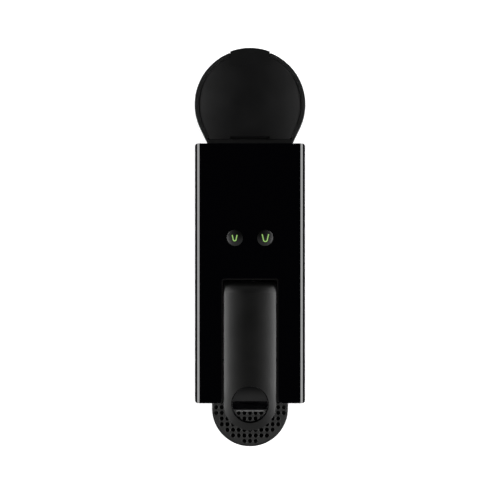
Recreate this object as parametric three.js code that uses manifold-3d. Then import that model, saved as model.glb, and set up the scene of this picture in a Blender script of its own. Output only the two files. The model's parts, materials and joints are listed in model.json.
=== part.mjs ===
// A small pod coffee machine: a slim black body with a lift-up lever over the capsule slot, two
// buttons, a round lift-off water tank behind, and a D-shaped drip tray with a cup support in front.
// Millimetres, +Z up, front towards -Y, origin on the table under the middle of the machine.
import * as THREE from 'three';
import { mergeVertices } from 'three/addons/utils/BufferGeometryUtils.js';
import Module from 'manifold-3d';

const wasm = await Module();
wasm.setup();

// ---------------------------------------------------------------- driving dimensions
const FRONT = -165;
const HALF_BODY = 41.3;
const BODY_FRONT = -103;
const BODY_REAR = 92;
const BODY_TOP = 201.5;
const BODY_BOTTOM = 9;
const HEAD_BOTTOM = 126;
const COLUMN_FRONT = -64;
const WALL = 2.5;
const EDGE_RADIUS = 4.2;

const LEVER_HALF = 19.65;
const LEVER_CROWN = 204;
const LEVER_EDGE = 200;
const LEVER_UNDER = 196.5;
const RING_Y = -103.8;
const RING_HOLE = 13.6;
const BARREL = 15;
const PIVOT = { y: -25.7, z: LEVER_CROWN - BARREL };
const LEVER_SWING = THREE.MathUtils.degToRad(85);

const BREW_Z = 155.5;
const CAGE_RADIUS = 18.5;
const CAGE_FRONT = -75.2;
const CAGE_TRAVEL = 30;
const CAM_PIN = { y: -70, z: 170, r: 2.5 };
const CHEEK = { x0: 18.9, x1: 20.1 };
const FRAME_WALL = { x0: 21.8, x1: 24.8 };

const BUTTON = { x: 11.55, y: 20.9, r: 6.06, hole: 6.5 };
const BUTTON_TRAVEL = 1.5;

const TANK = { y: 122.2, r: 42, front: 92.6, halfFront: 32.3, bottom: 25.3, rim: 193.4 };
const TANK_WALL = 2.2;
const LID = { inset: 3.2, bottom: 190.8, top: 194, tabHalf: 15, tip: 165 };
const LID_AXIS = { y: TANK.front + LID.inset + 1.6, z: (LID.bottom + LID.top) / 2 };
const PROBE_Y = 112;
const VALVE_TRAVEL = 1.9;

const TRAY = { half: 33.6, roundY: -128.2, bottom: 8.6, top: 21.8, rear: -8 };
const TONGUE_HALF = 34.6;
const STAND_TOP = 48;
const STAND_REAR = -67.2;
const GRID = { pitch: 5, hole: 1.95, rowFront: -157.2, rows: 13, columns: 6 };
const BIN = { half: 33.2, front: -66, rear: -9, bottom: 22.1, top: 115.5 };

const BASE = { bottom: 3, top: 8 };
const GAP = 0.3;

// ---------------------------------------------------------------- materials
const finish = (color, roughness, metalness = 0) =>
  new THREE.MeshStandardMaterial({ color, roughness, metalness });
const glossBlack = finish(0x0b0b0d, 0.08);
const satinBlack = finish(0x232422, 0.45);
const leverGrey = finish(0x3a3a37, 0.42);
const smoke = finish(0x1c1e1f, 0.12);
const rubber = finish(0x161616, 0.85);
const silicone = finish(0xd8d6cf, 0.5);
const steel = finish(0xb9bbbd, 0.28, 1);
const castAluminium = finish(0x9a9c9e, 0.5, 1);
const naturalPlastic = finish(0x3b3d40, 0.55);
const boardGreen = finish(0x1d4a32, 0.6);
const coilBlue = finish(0x2b3d55, 0.4);
const iconGreen = finish(0xa7e36b, 0.3);

// ---------------------------------------------------------------- shapes and solids
// A closed three.js geometry as a solid that can be cut and joined.
function solid(geometry) {
  const flat = geometry.index ? geometry.toNonIndexed() : geometry;
  const bare = new THREE.BufferGeometry();
  bare.setAttribute('position', flat.getAttribute('position'));
  const merged = mergeVertices(bare, 1e-4);
  const made = new wasm.Manifold(new wasm.Mesh({
    numProp: 3,
    vertProperties: merged.attributes.position.array,
    triVerts: new Uint32Array(merged.index.array),
  }));
  if (made.isEmpty()) throw new Error('a shape made no solid');
  return made;
}
const join = (first, ...others) => others.reduce((sum, other) => sum.add(other), first);
const cut = (first, ...others) => others.reduce((left, other) => left.subtract(other), first);
const common = (first, ...others) => others.reduce((left, other) => left.intersect(other), first);

const ALONG = {
  x: new THREE.Matrix4().makeBasis(
    new THREE.Vector3(0, 1, 0), new THREE.Vector3(0, 0, 1), new THREE.Vector3(1, 0, 0)),
  y: new THREE.Matrix4().makeBasis(
    new THREE.Vector3(1, 0, 0), new THREE.Vector3(0, 0, 1), new THREE.Vector3(0, -1, 0)),
  z: new THREE.Matrix4(),
};
// A flat shape pushed along an axis from `from` to `to`: drawn in YZ for x, in XZ for y, in XY for z.
function extrude(axis, shape, from, to, curveSegments = 12) {
  const geometry = new THREE.ExtrudeGeometry(
    shape, { depth: to - from, bevelEnabled: false, curveSegments });
  geometry.applyMatrix4(ALONG[axis]);
  const start = axis === 'y' ? to : from;
  geometry.translate(axis === 'x' ? start : 0, axis === 'y' ? start : 0, axis === 'z' ? start : 0);
  return solid(geometry);
}
function box(x0, x1, y0, y1, z0, z1) {
  return solid(new THREE.BoxGeometry(x1 - x0, y1 - y0, z1 - z0)
    .translate((x0 + x1) / 2, (y0 + y1) / 2, (z0 + z1) / 2));
}
// A round bar along an axis. a and b are its centre on the two other axes, in X, Y, Z order.
function rod(axis, r, from, to, a, b, sides = 24, rEnd = r) {
  const geometry = new THREE.CylinderGeometry(rEnd, r, to - from, sides);
  const mid = (from + to) / 2;
  if (axis === 'x') geometry.rotateZ(-Math.PI / 2).translate(mid, a, b);
  if (axis === 'y') geometry.translate(a, mid, b);
  if (axis === 'z') geometry.rotateX(Math.PI / 2).translate(a, b, mid);
  return solid(geometry);
}
// A closed profile of [radius, height] points turned about the vertical axis of a lathe. The
// points may run either way round.
function lathe(points, segments) {
  const area = points.reduce((sum, [r, h], i) => {
    const [nextR, nextH] = points[(i + 1) % points.length];
    return sum + r * nextH - nextR * h;
  }, 0);
  const loop = area > 0 ? points : [...points].reverse();
  const profile = [...loop, loop[0]].map(([r, h]) => new THREE.Vector2(r, h));
  return new THREE.LatheGeometry(profile, segments);
}
// Turned about the Z axis through (x, y).
function turned(points, x, y, segments = 24) {
  return solid(lathe(points, segments).rotateX(Math.PI / 2).translate(x, y, 0));
}
// Turned about the Y axis through (0, BREW_Z), for what lies on the brewing axis.
function turnedOnBrewAxis(points, segments = 28) {
  return solid(lathe(points, segments).translate(0, 0, BREW_Z));
}
function polygon(...points) {
  return new THREE.Shape(points.map(([a, b]) => new THREE.Vector2(a, b)));
}
function roundedRectangle(a0, a1, b0, b1, r) {
  const shape = new THREE.Shape();
  shape.moveTo(a0 + r, b0);
  shape.absarc(a1 - r, b0 + r, r, -Math.PI / 2, 0);
  shape.absarc(a1 - r, b1 - r, r, 0, Math.PI / 2);
  shape.absarc(a0 + r, b1 - r, r, Math.PI / 2, Math.PI);
  shape.absarc(a0 + r, b0 + r, r, Math.PI, 1.5 * Math.PI);
  return shape;
}
function tube(points, r, steps, sides = 8) {
  const path = new THREE.CatmullRomCurve3(points.map((p) => new THREE.Vector3(...p)));
  const section = new THREE.Shape();
  for (let i = 0; i < sides; i += 1) {
    const turn = (2 * Math.PI * i) / sides;
    const [a, b] = [r * Math.cos(turn), r * Math.sin(turn)];
    if (i === 0) section.moveTo(a, b);
    else section.lineTo(a, b);
  }
  section.closePath();
  return solid(new THREE.ExtrudeGeometry(section, { steps, extrudePath: path }));
}

const machine = new THREE.Group();
// Adds one named piece to the machine.
function piece(name, made, material) {
  const source = made.getMesh();
  const position = new Float32Array(source.numVert * 3);
  for (let i = 0; i < source.numVert; i += 1) {
    position.set(source.vertProperties.subarray(i * source.numProp, i * source.numProp + 3), i * 3);
  }
  const geometry = new THREE.BufferGeometry();
  geometry.setAttribute('position', new THREE.BufferAttribute(position, 3));
  geometry.setIndex(new THREE.BufferAttribute(new Uint32Array(source.triVerts), 1));
  geometry.computeVertexNormals();
  const mesh = new THREE.Mesh(geometry, material);
  mesh.name = name;
  machine.add(mesh);
}
const SIDES = [['left', -1], ['right', 1]];
// A box given by its distances from the middle plane, on the side s.
const sideBox = (s, x0, x1, ...rest) => box(...(s < 0 ? [-x1, -x0] : [x0, x1]), ...rest);
const sideRod = (s, r, x0, x1, y, z, sides = 20) =>
  rod('x', r, ...(s < 0 ? [-x1, -x0] : [x0, x1]), y, z, sides);

// ---------------------------------------------------------------- casing
// Side view of the body: head over the cup, column down to the base.
function sideProfile() {
  const inner = 8;
  const nose = 9;
  const shape = new THREE.Shape();
  shape.moveTo(BODY_FRONT, BODY_TOP + 1);
  shape.lineTo(BODY_FRONT, HEAD_BOTTOM + nose);
  shape.absarc(BODY_FRONT + nose, HEAD_BOTTOM + nose, nose, Math.PI, 1.5 * Math.PI);
  shape.lineTo(COLUMN_FRONT - inner, HEAD_BOTTOM);
  shape.absarc(COLUMN_FRONT - inner, HEAD_BOTTOM - inner, inner, Math.PI / 2, 0, true);
  shape.lineTo(COLUMN_FRONT, BODY_BOTTOM);
  shape.lineTo(BODY_REAR, BODY_BOTTOM);
  shape.lineTo(BODY_REAR, BODY_TOP + 1);
  return shape;
}
// Front view of the shell: a top and two sides with rounded upper edges.
function shellSection() {
  const [half, top, r, w] = [HALF_BODY, BODY_TOP, EDGE_RADIUS, WALL];
  const shape = new THREE.Shape();
  shape.moveTo(half - w, 0);
  shape.lineTo(half, 0);
  shape.absarc(half - r, top - r, r, 0, Math.PI / 2);
  shape.absarc(-half + r, top - r, r, Math.PI / 2, Math.PI);
  shape.lineTo(-half, 0);
  shape.lineTo(-half + w, 0);
  shape.absarc(-half + r, top - r, r - w, Math.PI, Math.PI / 2, true);
  shape.absarc(half - r, top - r, r - w, Math.PI / 2, 0, true);
  return shape;
}
const SLOT_HALF = 21.6;
const SLOT_REAR = -9;
// Top view of the slot that the lever lies in. It runs out through the front edge, rounded there.
function leverSlot() {
  const r = 1.5;
  const shape = new THREE.Shape();
  shape.moveTo(SLOT_HALF + r, BODY_FRONT - 1);
  shape.lineTo(SLOT_HALF + r, BODY_FRONT);
  shape.absarc(SLOT_HALF + r, BODY_FRONT + r, r, -Math.PI / 2, -Math.PI, true);
  shape.absarc(SLOT_HALF - 2, SLOT_REAR - 2, 2, 0, Math.PI / 2);
  shape.absarc(-SLOT_HALF + 2, SLOT_REAR - 2, 2, Math.PI / 2, Math.PI);
  shape.absarc(-SLOT_HALF - r, BODY_FRONT + r, r, 0, -Math.PI / 2, true);
  shape.lineTo(-SLOT_HALF - r, BODY_FRONT - 1);
  return shape;
}
function outerShell() {
  const bulk = common(
    extrude('y', shellSection(), BODY_FRONT - 1, BODY_REAR + 1, 7),
    extrude('x', sideProfile(), -HALF_BODY - 1, HALF_BODY + 1, 6),
    extrude('z', roundedRectangle(-HALF_BODY, HALF_BODY, BODY_FRONT, BODY_REAR, 2), 0, BODY_TOP + 2, 4),
  );
  return cut(
    bulk,
    extrude('z', leverSlot(), BODY_TOP - 10, BODY_TOP + 5, 4),
    rod('z', BUTTON.hole, BODY_TOP - 10, BODY_TOP + 5, -BUTTON.x, BUTTON.y, 24),
    rod('z', BUTTON.hole, BODY_TOP - 10, BODY_TOP + 5, BUTTON.x, BUTTON.y, 24),
  );
}
piece('outer_shell', outerShell(), glossBlack);

// The trough under the lever: a floor at the front, and a window over the brewing unit.
const BED = {
  half: 21.3, inner: 20.4, top: 201, floor: 195.4, under: 193.4, windowFront: -84, windowRear: -10.4,
};
const FLANGE = { half: 30, front: -100, rear: -3, bottom: 196.6, top: BODY_TOP - WALL - 0.2 };
function leverBed() {
  const outer = join(
    box(-BED.half, BED.half, BODY_FRONT + 0.4, -20, BED.under, BED.top),
    extrude('z', roundedRectangle(-BED.half, BED.half, -30, SLOT_REAR - GAP, 1.7),
      BED.under, BED.top, 4),
    box(-FLANGE.half, FLANGE.half, FLANGE.front, FLANGE.rear, FLANGE.bottom, FLANGE.top),
  );
  return cut(
    outer,
    box(-BED.inner, BED.inner, BODY_FRONT - 1, BED.windowRear, BED.floor, 203),
    box(-BED.inner, BED.inner, BED.windowFront, BED.windowRear, BED.under - 1, 203),
  );
}
piece('lever_bed', leverBed(), satinBlack);

const SPOUT = { half: 15, front: -116.4, rear: -88.3, bottom: 119, top: 150 };
const INNER_HALF = HALF_BODY - WALL - GAP;
const panelOutline = (bottom) => {
  const r = 4.5;
  const top = BODY_TOP - WALL - GAP;
  const shape = new THREE.Shape();
  shape.moveTo(-INNER_HALF, bottom);
  shape.lineTo(INNER_HALF, bottom);
  shape.absarc(INNER_HALF - r, top - r, r, 0, Math.PI / 2);
  shape.absarc(-INNER_HALF + r, top - r, r, Math.PI / 2, Math.PI);
  return shape;
};
function frontPanel() {
  return cut(
    extrude('y', panelOutline(HEAD_BOTTOM + 4), BODY_FRONT + 0.1, BODY_FRONT + 2.4, 4),
    box(-BED.half - GAP, BED.half + GAP, -110, -95, BED.under - GAP, 210),
    box(-SPOUT.half - GAP, SPOUT.half + GAP, -110, -95, 100, SPOUT.top + GAP),
  );
}
piece('front_panel', frontPanel(), satinBlack);

const CHUTE = {
  half: 21, top: 133.2, bottom: 122.3, topFront: -79.5, topRear: -44.5, shift: 19.5, wall: 1.6,
};
// The underside of the head, with a lip that closes the step down to the column.
function headBase() {
  return cut(
    join(
      box(-INNER_HALF, INNER_HALF, -100.3, COLUMN_FRONT - GAP, HEAD_BOTTOM + 0.4, HEAD_BOTTOM + 2.4),
      box(-34, 34, COLUMN_FRONT - 2, COLUMN_FRONT - GAP, 121, HEAD_BOTTOM + 1),
    ),
    box(-SPOUT.half - GAP, SPOUT.half + GAP, -110, SPOUT.rear + GAP, 100, 140),
    box(-CHUTE.half - GAP, CHUTE.half + GAP, -76, -60, 100, 140),
  );
}
piece('head_base', headBase(), satinBlack);

// The bay that the capsule bin slides into, with a front rim and an opening for falling capsules.
const SCREW = { x: 28, y: 4.5 };
const BAY = { half: 34.6, wall: 2, rear: -4, ceiling: 120 };
function bayLiner() {
  const outer = BAY.half + BAY.wall;
  const bosses = SIDES.map(([, s]) => rod('z', 7.5, BASE.top + GAP, 24, s * SCREW.x, SCREW.y, 20));
  const bores = SIDES.map(([, s]) => rod('z', 1.8, 0, 23, s * SCREW.x, SCREW.y, 12));
  return cut(
    join(
      ...bosses,
      box(-outer, outer, COLUMN_FRONT + 0.2, BAY.rear + 2, BASE.top + GAP, BAY.ceiling + 2),
      box(-INNER_HALF, INNER_HALF, COLUMN_FRONT + 0.2, COLUMN_FRONT + 2, BASE.top + GAP, BAY.ceiling + 2),
    ),
    box(-BAY.half, BAY.half, COLUMN_FRONT - 5, BAY.rear, 0, BAY.ceiling),
    box(-19.5, 19.5, -58.5, -26.5, 100, 140),
    ...bores,
  );
}
piece('bay_liner', bayLiner(), satinBlack);

function rearPanel() {
  return cut(
    extrude('y', panelOutline(BASE.top + 0.4), BODY_REAR - 2.7, BODY_REAR - 0.4, 4),
    box(-4.5, 4.5, 85, 95, 0, 20),
  );
}
piece('rear_panel', rearPanel(), satinBlack);

// Top view of the tank: a circle whose sides run straight and inwards to the body. inset moves
// the whole outline in by that much.
const taperAngle = (() => {
  const [across, along] = [TANK.halfFront, TANK.y - TANK.front];
  return Math.atan2(along, across) - Math.acos(TANK.r / Math.hypot(across, along));
})();
function tankOutline(inset) {
  const r = TANK.r - inset;
  const front = TANK.front + inset;
  const half = (r + (front - TANK.y) * Math.sin(taperAngle)) / Math.cos(taperAngle);
  const shape = new THREE.Shape();
  shape.moveTo(-half, front);
  shape.lineTo(half, front);
  shape.absarc(0, TANK.y, r, -taperAngle, Math.PI + taperAngle);
  return shape;
}
// Top view of the tray: straight sides with a half round front.
function trayOutline(half, roundY, rear, inset = 0) {
  const shape = new THREE.Shape();
  shape.moveTo(half - inset, rear - inset);
  shape.lineTo(-half + inset, rear - inset);
  shape.absarc(0, roundY, half - inset, Math.PI, 2 * Math.PI);
  return shape;
}

function basePlate() {
  const plate = join(
    box(-40.8, 40.8, -63.5, 91.5, BASE.bottom, BASE.top),
    extrude('z', trayOutline(TONGUE_HALF, FRONT + TONGUE_HALF, -60), BASE.bottom, BASE.top, 16),
    extrude('z', tankOutline(1.5), BASE.bottom, BASE.top, 20),
    box(-30, 30, 90, 100, BASE.bottom, BASE.top),
    box(-38.4, -37, -60, 88, BASE.top - 1, 13),
    box(37, 38.4, -60, 88, BASE.top - 1, 13),
  );
  const screwHoles = SIDES.flatMap(([, s]) => [
    rod('z', 1.9, 0, 20, s * SCREW.x, SCREW.y, 16),
    rod('z', 3.6, 0, BASE.bottom + 2, s * SCREW.x, SCREW.y, 16),
  ]);
  return cut(plate, ...screwHoles);
}
piece('base_plate', basePlate(), satinBlack);

const FEET = [
  ['foot_front_left', -20, -138], ['foot_front_right', 20, -138],
  ['foot_rear_left', -30, 80], ['foot_rear_right', 30, 80],
];
for (const [name, x, y] of FEET) {
  piece(name, rod('z', 6.5, 0, BASE.bottom - 0.2, x, y, 24, 7), rubber);
}
for (const [side, s] of SIDES) {
  piece(`base_screw_${side}`, join(
    rod('z', 3.2, BASE.bottom + 0.2, BASE.bottom + 1.7, s * SCREW.x, SCREW.y, 16),
    rod('z', 1.5, BASE.bottom + 1.5, 22, s * SCREW.x, SCREW.y, 12),
  ), steel);
}

// ---------------------------------------------------------------- tank seat and tank
const SEAT_TOP = TANK.bottom - GAP;
const GLAND = { x: -22, z: 15.5, r: 4.9 };
function tankSeat() {
  return cut(
    extrude('z', tankOutline(1.5), BASE.top + 0.2, SEAT_TOP, 20),
    extrude('z', tankOutline(3.5), 0, SEAT_TOP - 2.2, 20),
    rod('z', 8.8, 0, 40, 0, PROBE_Y, 24),
    box(-4.5, 4.5, 90, 102, 0, 20),
    rod('y', GLAND.r + GAP, 145, 165, GLAND.x, GLAND.z, 20),
  );
}
piece('tank_seat', tankSeat(), satinBlack);
piece('cord_gland', cut(
  rod('y', GLAND.r, 149, 159, GLAND.x, GLAND.z, 20),
  rod('y', 3.3, 140, 170, GLAND.x, GLAND.z, 20),
), rubber);

const PROBE_TOP = TANK.bottom + 0.3;
function tankProbe() {
  return join(
    turned([[0, 12.5], [10.2, 12.5], [10.2, 22.3], [8.6, 22.3], [8.6, 14.5], [1.8, 14.5],
      [1.8, PROBE_TOP], [0, PROBE_TOP]], 0, PROBE_Y, 24),
    rod('y', 2.2, 98, PROBE_Y - 9, 0, 16, 16),
  );
}
piece('tank_probe', tankProbe(), naturalPlastic);
piece('tank_seal', turned([[4.8, 15], [8.3, 15], [8.3, 17.6], [4.8, 17.6]], 0, PROBE_Y, 24), silicone);

const TANK_FLOOR = TANK.bottom + 2.5;
function waterTank() {
  const ledge = LID.bottom - GAP;
  const lipInset = 4.6;
  const outside = join(
    extrude('z', tankOutline(0.7), TANK.bottom, 185, 20),
    extrude('z', tankOutline(0), 184, TANK.rim, 20),
    rod('z', 7, 18, TANK.bottom + 1, 0, PROBE_Y, 20),
  );
  return cut(
    outside,
    extrude('z', tankOutline(0.7 + TANK_WALL), TANK_FLOOR, 186, 20),
    extrude('z', tankOutline(lipInset), 180, 200, 20),
    extrude('z', tankOutline(LID.inset - GAP), ledge, 200, 20),
    rod('z', 4.5, 0, 60, 0, PROBE_Y, 20),
    box(-LID.tabHalf - 0.4, LID.tabHalf + 0.4, 150, 170, ledge, 200),
    box(-32.1, 32.1, TANK.front + LID.inset - GAP, LID_AXIS.y + 2, ledge, 200),
    rod('x', 1.55, -33.4, 33.4, LID_AXIS.y, LID_AXIS.z, 16),
  );
}
piece('water_tank', waterTank(), smoke);

// The lid drops into the rim. Its front edge is round about the hinge line and carries two
// trunnions, and its rear tab reaches over the rim for a finger.
function tankLid() {
  const half = (LID.top - LID.bottom) / 2;
  const edgeX = 28.5;
  const tab = common(
    extrude('z', (() => {
      const circle = new THREE.Shape();
      circle.absarc(0, TANK.y, LID.tip - TANK.y, 0, 2 * Math.PI);
      return circle;
    })(), LID.bottom, LID.top, 32),
    box(-LID.tabHalf, LID.tabHalf, 150, 170, LID.bottom, LID.top),
  );
  const plate = cut(
    extrude('z', tankOutline(LID.inset), LID.bottom, LID.top, 20),
    box(-50, 50, 80, LID_AXIS.y, 180, 200),
  );
  return join(
    plate,
    tab,
    rod('x', half, -edgeX, edgeX, LID_AXIS.y, LID_AXIS.z, 16),
    rod('x', 1.2, -33, 33, LID_AXIS.y, LID_AXIS.z, 12),
  );
}
piece('tank_lid', tankLid(), satinBlack);

const POPPET = TANK_FLOOR + VALVE_TRAVEL;
piece('tank_valve', join(
  rod('z', 2.6, PROBE_TOP + GAP, POPPET + 1, 0, PROBE_Y, 16),
  rod('z', 6.5, POPPET, POPPET + 2, 0, PROBE_Y, 20),
), naturalPlastic);

// ---------------------------------------------------------------- lever
// Front view of the lever: a flat underside and a gently crowned top.
function leverSection(under) {
  const rise = LEVER_CROWN - LEVER_EDGE;
  const r = (LEVER_HALF ** 2 + rise ** 2) / (2 * rise);
  const half = LEVER_HALF + 1;
  const reach = Math.asin(half / r);
  const shape = new THREE.Shape();
  shape.moveTo(-half, under);
  shape.lineTo(half, under);
  shape.absarc(0, LEVER_CROWN - r, r, Math.PI / 2 - reach, Math.PI / 2 + reach);
  return shape;
}
// Side view of the strap: round about the pivot at the rear, dipping a little at the front.
function leverProfile() {
  const startAngle = Math.asin((LEVER_UNDER - PIVOT.z) / BARREL);
  const shape = new THREE.Shape();
  shape.moveTo(-126, LEVER_UNDER);
  shape.lineTo(PIVOT.y + BARREL * Math.cos(startAngle), LEVER_UNDER);
  shape.absarc(PIVOT.y, PIVOT.z, BARREL, startAngle, Math.PI / 2);
  shape.lineTo(-80, LEVER_CROWN);
  shape.quadraticCurveTo(-105, LEVER_CROWN, -126, LEVER_CROWN - 2.6);
  return shape;
}
function leverArm() {
  const strap = common(
    extrude('y', leverSection(LEVER_UNDER), -130, -5, 10),
    extrude('x', leverProfile(), -25, 25, 8),
    extrude('z', trayOutline(LEVER_HALF, RING_Y, 0), 180, 210, 20),
  );
  const barrel = common(
    rod('x', BARREL - 0.3, -18.6, 18.6, PIVOT.y, PIVOT.z, 32),
    extrude('y', leverSection(150), -60, 0, 10),
  );
  const bores = SIDES.map(([, s]) => sideRod(s, 3.4, 12, 19, PIVOT.y, PIVOT.z));
  return cut(join(strap, barrel), rod('z', RING_HOLE, 180, 210, 0, RING_Y, 32), ...bores);
}
piece('lever_arm', leverArm(), leverGrey);

// The line that the cam pin follows in the lever, in the lever's own frame: the pin slides straight
// back by CAGE_TRAVEL while the lever turns by LEVER_SWING, at one steady rate.
function camPoint(share) {
  const angle = share * LEVER_SWING;
  const y = CAM_PIN.y + share * CAGE_TRAVEL - PIVOT.y;
  const z = CAM_PIN.z - PIVOT.z;
  return new THREE.Vector2(
    PIVOT.y + y * Math.cos(angle) - z * Math.sin(angle),
    PIVOT.z + y * Math.sin(angle) + z * Math.cos(angle),
  );
}
function camSlot(halfWidth, steps = 14) {
  const centres = Array.from({ length: steps + 1 }, (_, i) => camPoint(i / steps));
  const headings = centres.map((_, i) => {
    const [before, after] = [camPoint(i / steps - 0.01), camPoint(i / steps + 0.01)];
    return Math.atan2(after.y - before.y, after.x - before.x);
  });
  const beside = (i, turn) => [
    centres[i].x + halfWidth * Math.cos(headings[i] + turn),
    centres[i].y + halfWidth * Math.sin(headings[i] + turn),
  ];
  const outline = [];
  for (let i = 0; i <= steps; i += 1) outline.push(beside(i, -Math.PI / 2));
  for (let k = 1; k < 8; k += 1) outline.push(beside(steps, -Math.PI / 2 + (Math.PI * k) / 8));
  for (let i = steps; i >= 0; i -= 1) outline.push(beside(i, Math.PI / 2));
  for (let k = 1; k < 8; k += 1) outline.push(beside(0, Math.PI / 2 + (Math.PI * k) / 8));
  return polygon(...outline);
}
function leverCheek(s) {
  const [x0, x1] = s < 0 ? [-CHEEK.x1, -CHEEK.x0] : [CHEEK.x0, CHEEK.x1];
  const margin = CAM_PIN.r + 4.4;
  const top = LEVER_UNDER - GAP;
  const [start, middle, end] = [camPoint(0), camPoint(0.5), camPoint(1)];
  const web = polygon(
    [start.x - margin, top], [PIVOT.y + 9.5, top], [PIVOT.y + 12, PIVOT.z],
    [end.x + margin * 0.8, end.y + 3],
    [end.x, end.y], [middle.x, middle.y], [start.x, start.y], [start.x - margin, start.y],
  );
  return cut(
    join(
      extrude('x', web, x0, x1),
      extrude('x', camSlot(margin), x0, x1),
      rod('x', 12, x0, x1, PIVOT.y, PIVOT.z, 24),
    ),
    box(x0 - 1, x1 + 1, -60, 0, top, 210),
    extrude('x', camSlot(CAM_PIN.r + 0.4), x0 - 1, x1 + 1),
    rod('x', 3.3, x0 - 1, x1 + 1, PIVOT.y, PIVOT.z, 20),
  );
}
for (const [side, s] of SIDES) {
  piece(`lever_cheek_${side}`, leverCheek(s), steel);
  piece(`lever_pivot_${side}`, join(
    sideRod(s, 3, 12.6, 25.3, PIVOT.y, PIVOT.z),
    sideRod(s, 5, 25.1, 26.6, PIVOT.y, PIVOT.z),
  ), steel);
}

// ---------------------------------------------------------------- brewing unit
const BLOCK = { front: -88, rear: -78, bottom: 134, top: 190 };
const PLATE_FACE = -76.9;
const SHOE = { half: 9, rise: 2.7 };
const CHEEK_REACH = 58;
function brewFrame() {
  const walls = SIDES.map(([, s]) => join(
    sideBox(s, FRAME_WALL.x0, FRAME_WALL.x1, BLOCK.front, -2, BLOCK.bottom, 192.6),
    sideRod(s, 6.5, FRAME_WALL.x0, FRAME_WALL.x1, PIVOT.y, PIVOT.z, 20),
  ));
  const ways = SIDES.flatMap(([, s]) => [
    sideRod(s, CHEEK_REACH, CHEEK.x0 - 0.5, CHEEK.x1 + 0.5, PIVOT.y, PIVOT.z, 40),
    sideBox(s, 20, 30, CAM_PIN.y - SHOE.half - 0.5, CAM_PIN.y + CAGE_TRAVEL + SHOE.half + 0.5,
      CAM_PIN.z - SHOE.rise - GAP, CAM_PIN.z + SHOE.rise + GAP),
    sideRod(s, 3.3, 20, 30, PIVOT.y, PIVOT.z),
  ]);
  return cut(
    join(
      box(-22, 22, BLOCK.front, BLOCK.rear, BLOCK.bottom, BLOCK.top),
      box(-22, 22, -8, -2, BLOCK.bottom, 144),
      ...walls,
    ),
    rod('y', 18.6, PLATE_FACE - 4, -70, 0, BREW_Z, 32),
    rod('y', 3, -95, PLATE_FACE - 2, 0, BREW_Z - 8, 16),
    ...ways,
  );
}
piece('brew_frame', brewFrame(), naturalPlastic);

function extractionPlate() {
  const studs = [];
  for (let column = -2; column <= 2; column += 1) {
    for (let row = -2; row <= 2; row += 1) {
      if (Math.abs(column) + Math.abs(row) > 3) continue;
      studs.push(rod('y', 2.2, PLATE_FACE - 0.2, PLATE_FACE + 1.2, column * 5, BREW_Z + row * 5, 4, 0.8));
    }
  }
  return join(rod('y', 18.3, PLATE_FACE - 3.7, PLATE_FACE, 0, BREW_Z, 32), ...studs);
}
piece('extraction_plate', extractionPlate(), steel);

function coffeeSpout() {
  const { half, front, rear, bottom, top } = SPOUT;
  const plan = new THREE.Shape();
  plan.moveTo(half, rear);
  plan.lineTo(-half, rear);
  plan.absarc(-half + 5, front + 5, 5, Math.PI, 1.5 * Math.PI);
  plan.absarc(half - 5, front + 5, 5, 1.5 * Math.PI, 2 * Math.PI);
  const hood = common(
    extrude('z', plan, bottom, top, 6),
    extrude('x', polygon([front - 1, bottom + 4], [front + 12, bottom], [rear, bottom], [rear, top],
      [front + 8, top], [front - 1, top - 5]), -half, half),
  );
  return cut(
    join(hood, rod('z', 7, bottom - 1.5, bottom + 2, 0, -104, 20)),
    rod('z', 3.4, 100, BREW_Z - 8, 0, -104, 20),
    rod('y', 3, -104, -80, 0, BREW_Z - 8, 16),
  );
}
piece('coffee_spout', coffeeSpout(), satinBlack);

// Capsules slide down and back through this into the bin.
function capsuleChute() {
  const { half, top, bottom, topFront, topRear, shift, wall } = CHUTE;
  const slope = shift / (top - bottom);
  const at = (y, z) => [y + (top - z) * slope, z];
  const skew = (front, rear, z0, z1) => polygon(at(front, z1), at(rear, z1), at(rear, z0), at(front, z0));
  const run = wall * 2.2;
  return cut(
    extrude('x', skew(topFront, topRear, bottom, top), -half, half),
    extrude('x', skew(topFront + run, topRear - run, bottom - 2, top + 2), -half + wall, half - wall),
  );
}
piece('capsule_chute', capsuleChute(), naturalPlastic);

function capsuleCage() {
  const cup = turnedOnBrewAxis([
    [0, -48], [13, -48], [15.8, CAGE_FRONT], [CAGE_RADIUS, CAGE_FRONT], [CAGE_RADIUS, -44], [16.5, -42],
    [8, -42], [8, -38], [5, -36], [0, -36],
  ]);
  const lugs = SIDES.map(([, s]) => sideBox(s, 11, 18.4, CAGE_FRONT, CAM_PIN.y + 5.2,
    CAM_PIN.z - 5, CAM_PIN.z + 4.5));
  const bores = SIDES.map(([, s]) => sideRod(s, CAM_PIN.r + GAP, 13, 20, CAM_PIN.y, CAM_PIN.z));
  const hollow = turnedOnBrewAxis([[0, -48], [13, -48], [15.8, CAGE_FRONT], [15.9, CAGE_FRONT - 2],
    [0, CAGE_FRONT - 2]]);
  return cut(join(cup, ...lugs), hollow, ...bores);
}
piece('capsule_cage', capsuleCage(), naturalPlastic);
piece('cage_seal', turnedOnBrewAxis([[16.2, -76.1], [18, -76.1], [18, -75.4], [16.2, -75.4]]), silicone);

function injectionPlate() {
  const blades = [0, 1, 2].map((i) => {
    const turn = (2 * Math.PI * i) / 3 + Math.PI / 2;
    return rod('y', 0.3, -54, -49, 7 * Math.cos(turn), BREW_Z + 7 * Math.sin(turn), 6, 1.8);
  });
  return join(rod('y', 12, -49.6, -48.3, 0, BREW_Z, 24), ...blades);
}
piece('injection_plate', injectionPlate(), steel);

for (const [side, s] of SIDES) {
  piece(`cage_guide_${side}`, join(
    sideRod(s, CAM_PIN.r, 13.4, 22.4, CAM_PIN.y, CAM_PIN.z),
    sideBox(s, 22.1, 24.8, CAM_PIN.y - SHOE.half, CAM_PIN.y + SHOE.half,
      CAM_PIN.z - SHOE.rise, CAM_PIN.z + SHOE.rise),
  ), steel);
}

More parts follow.
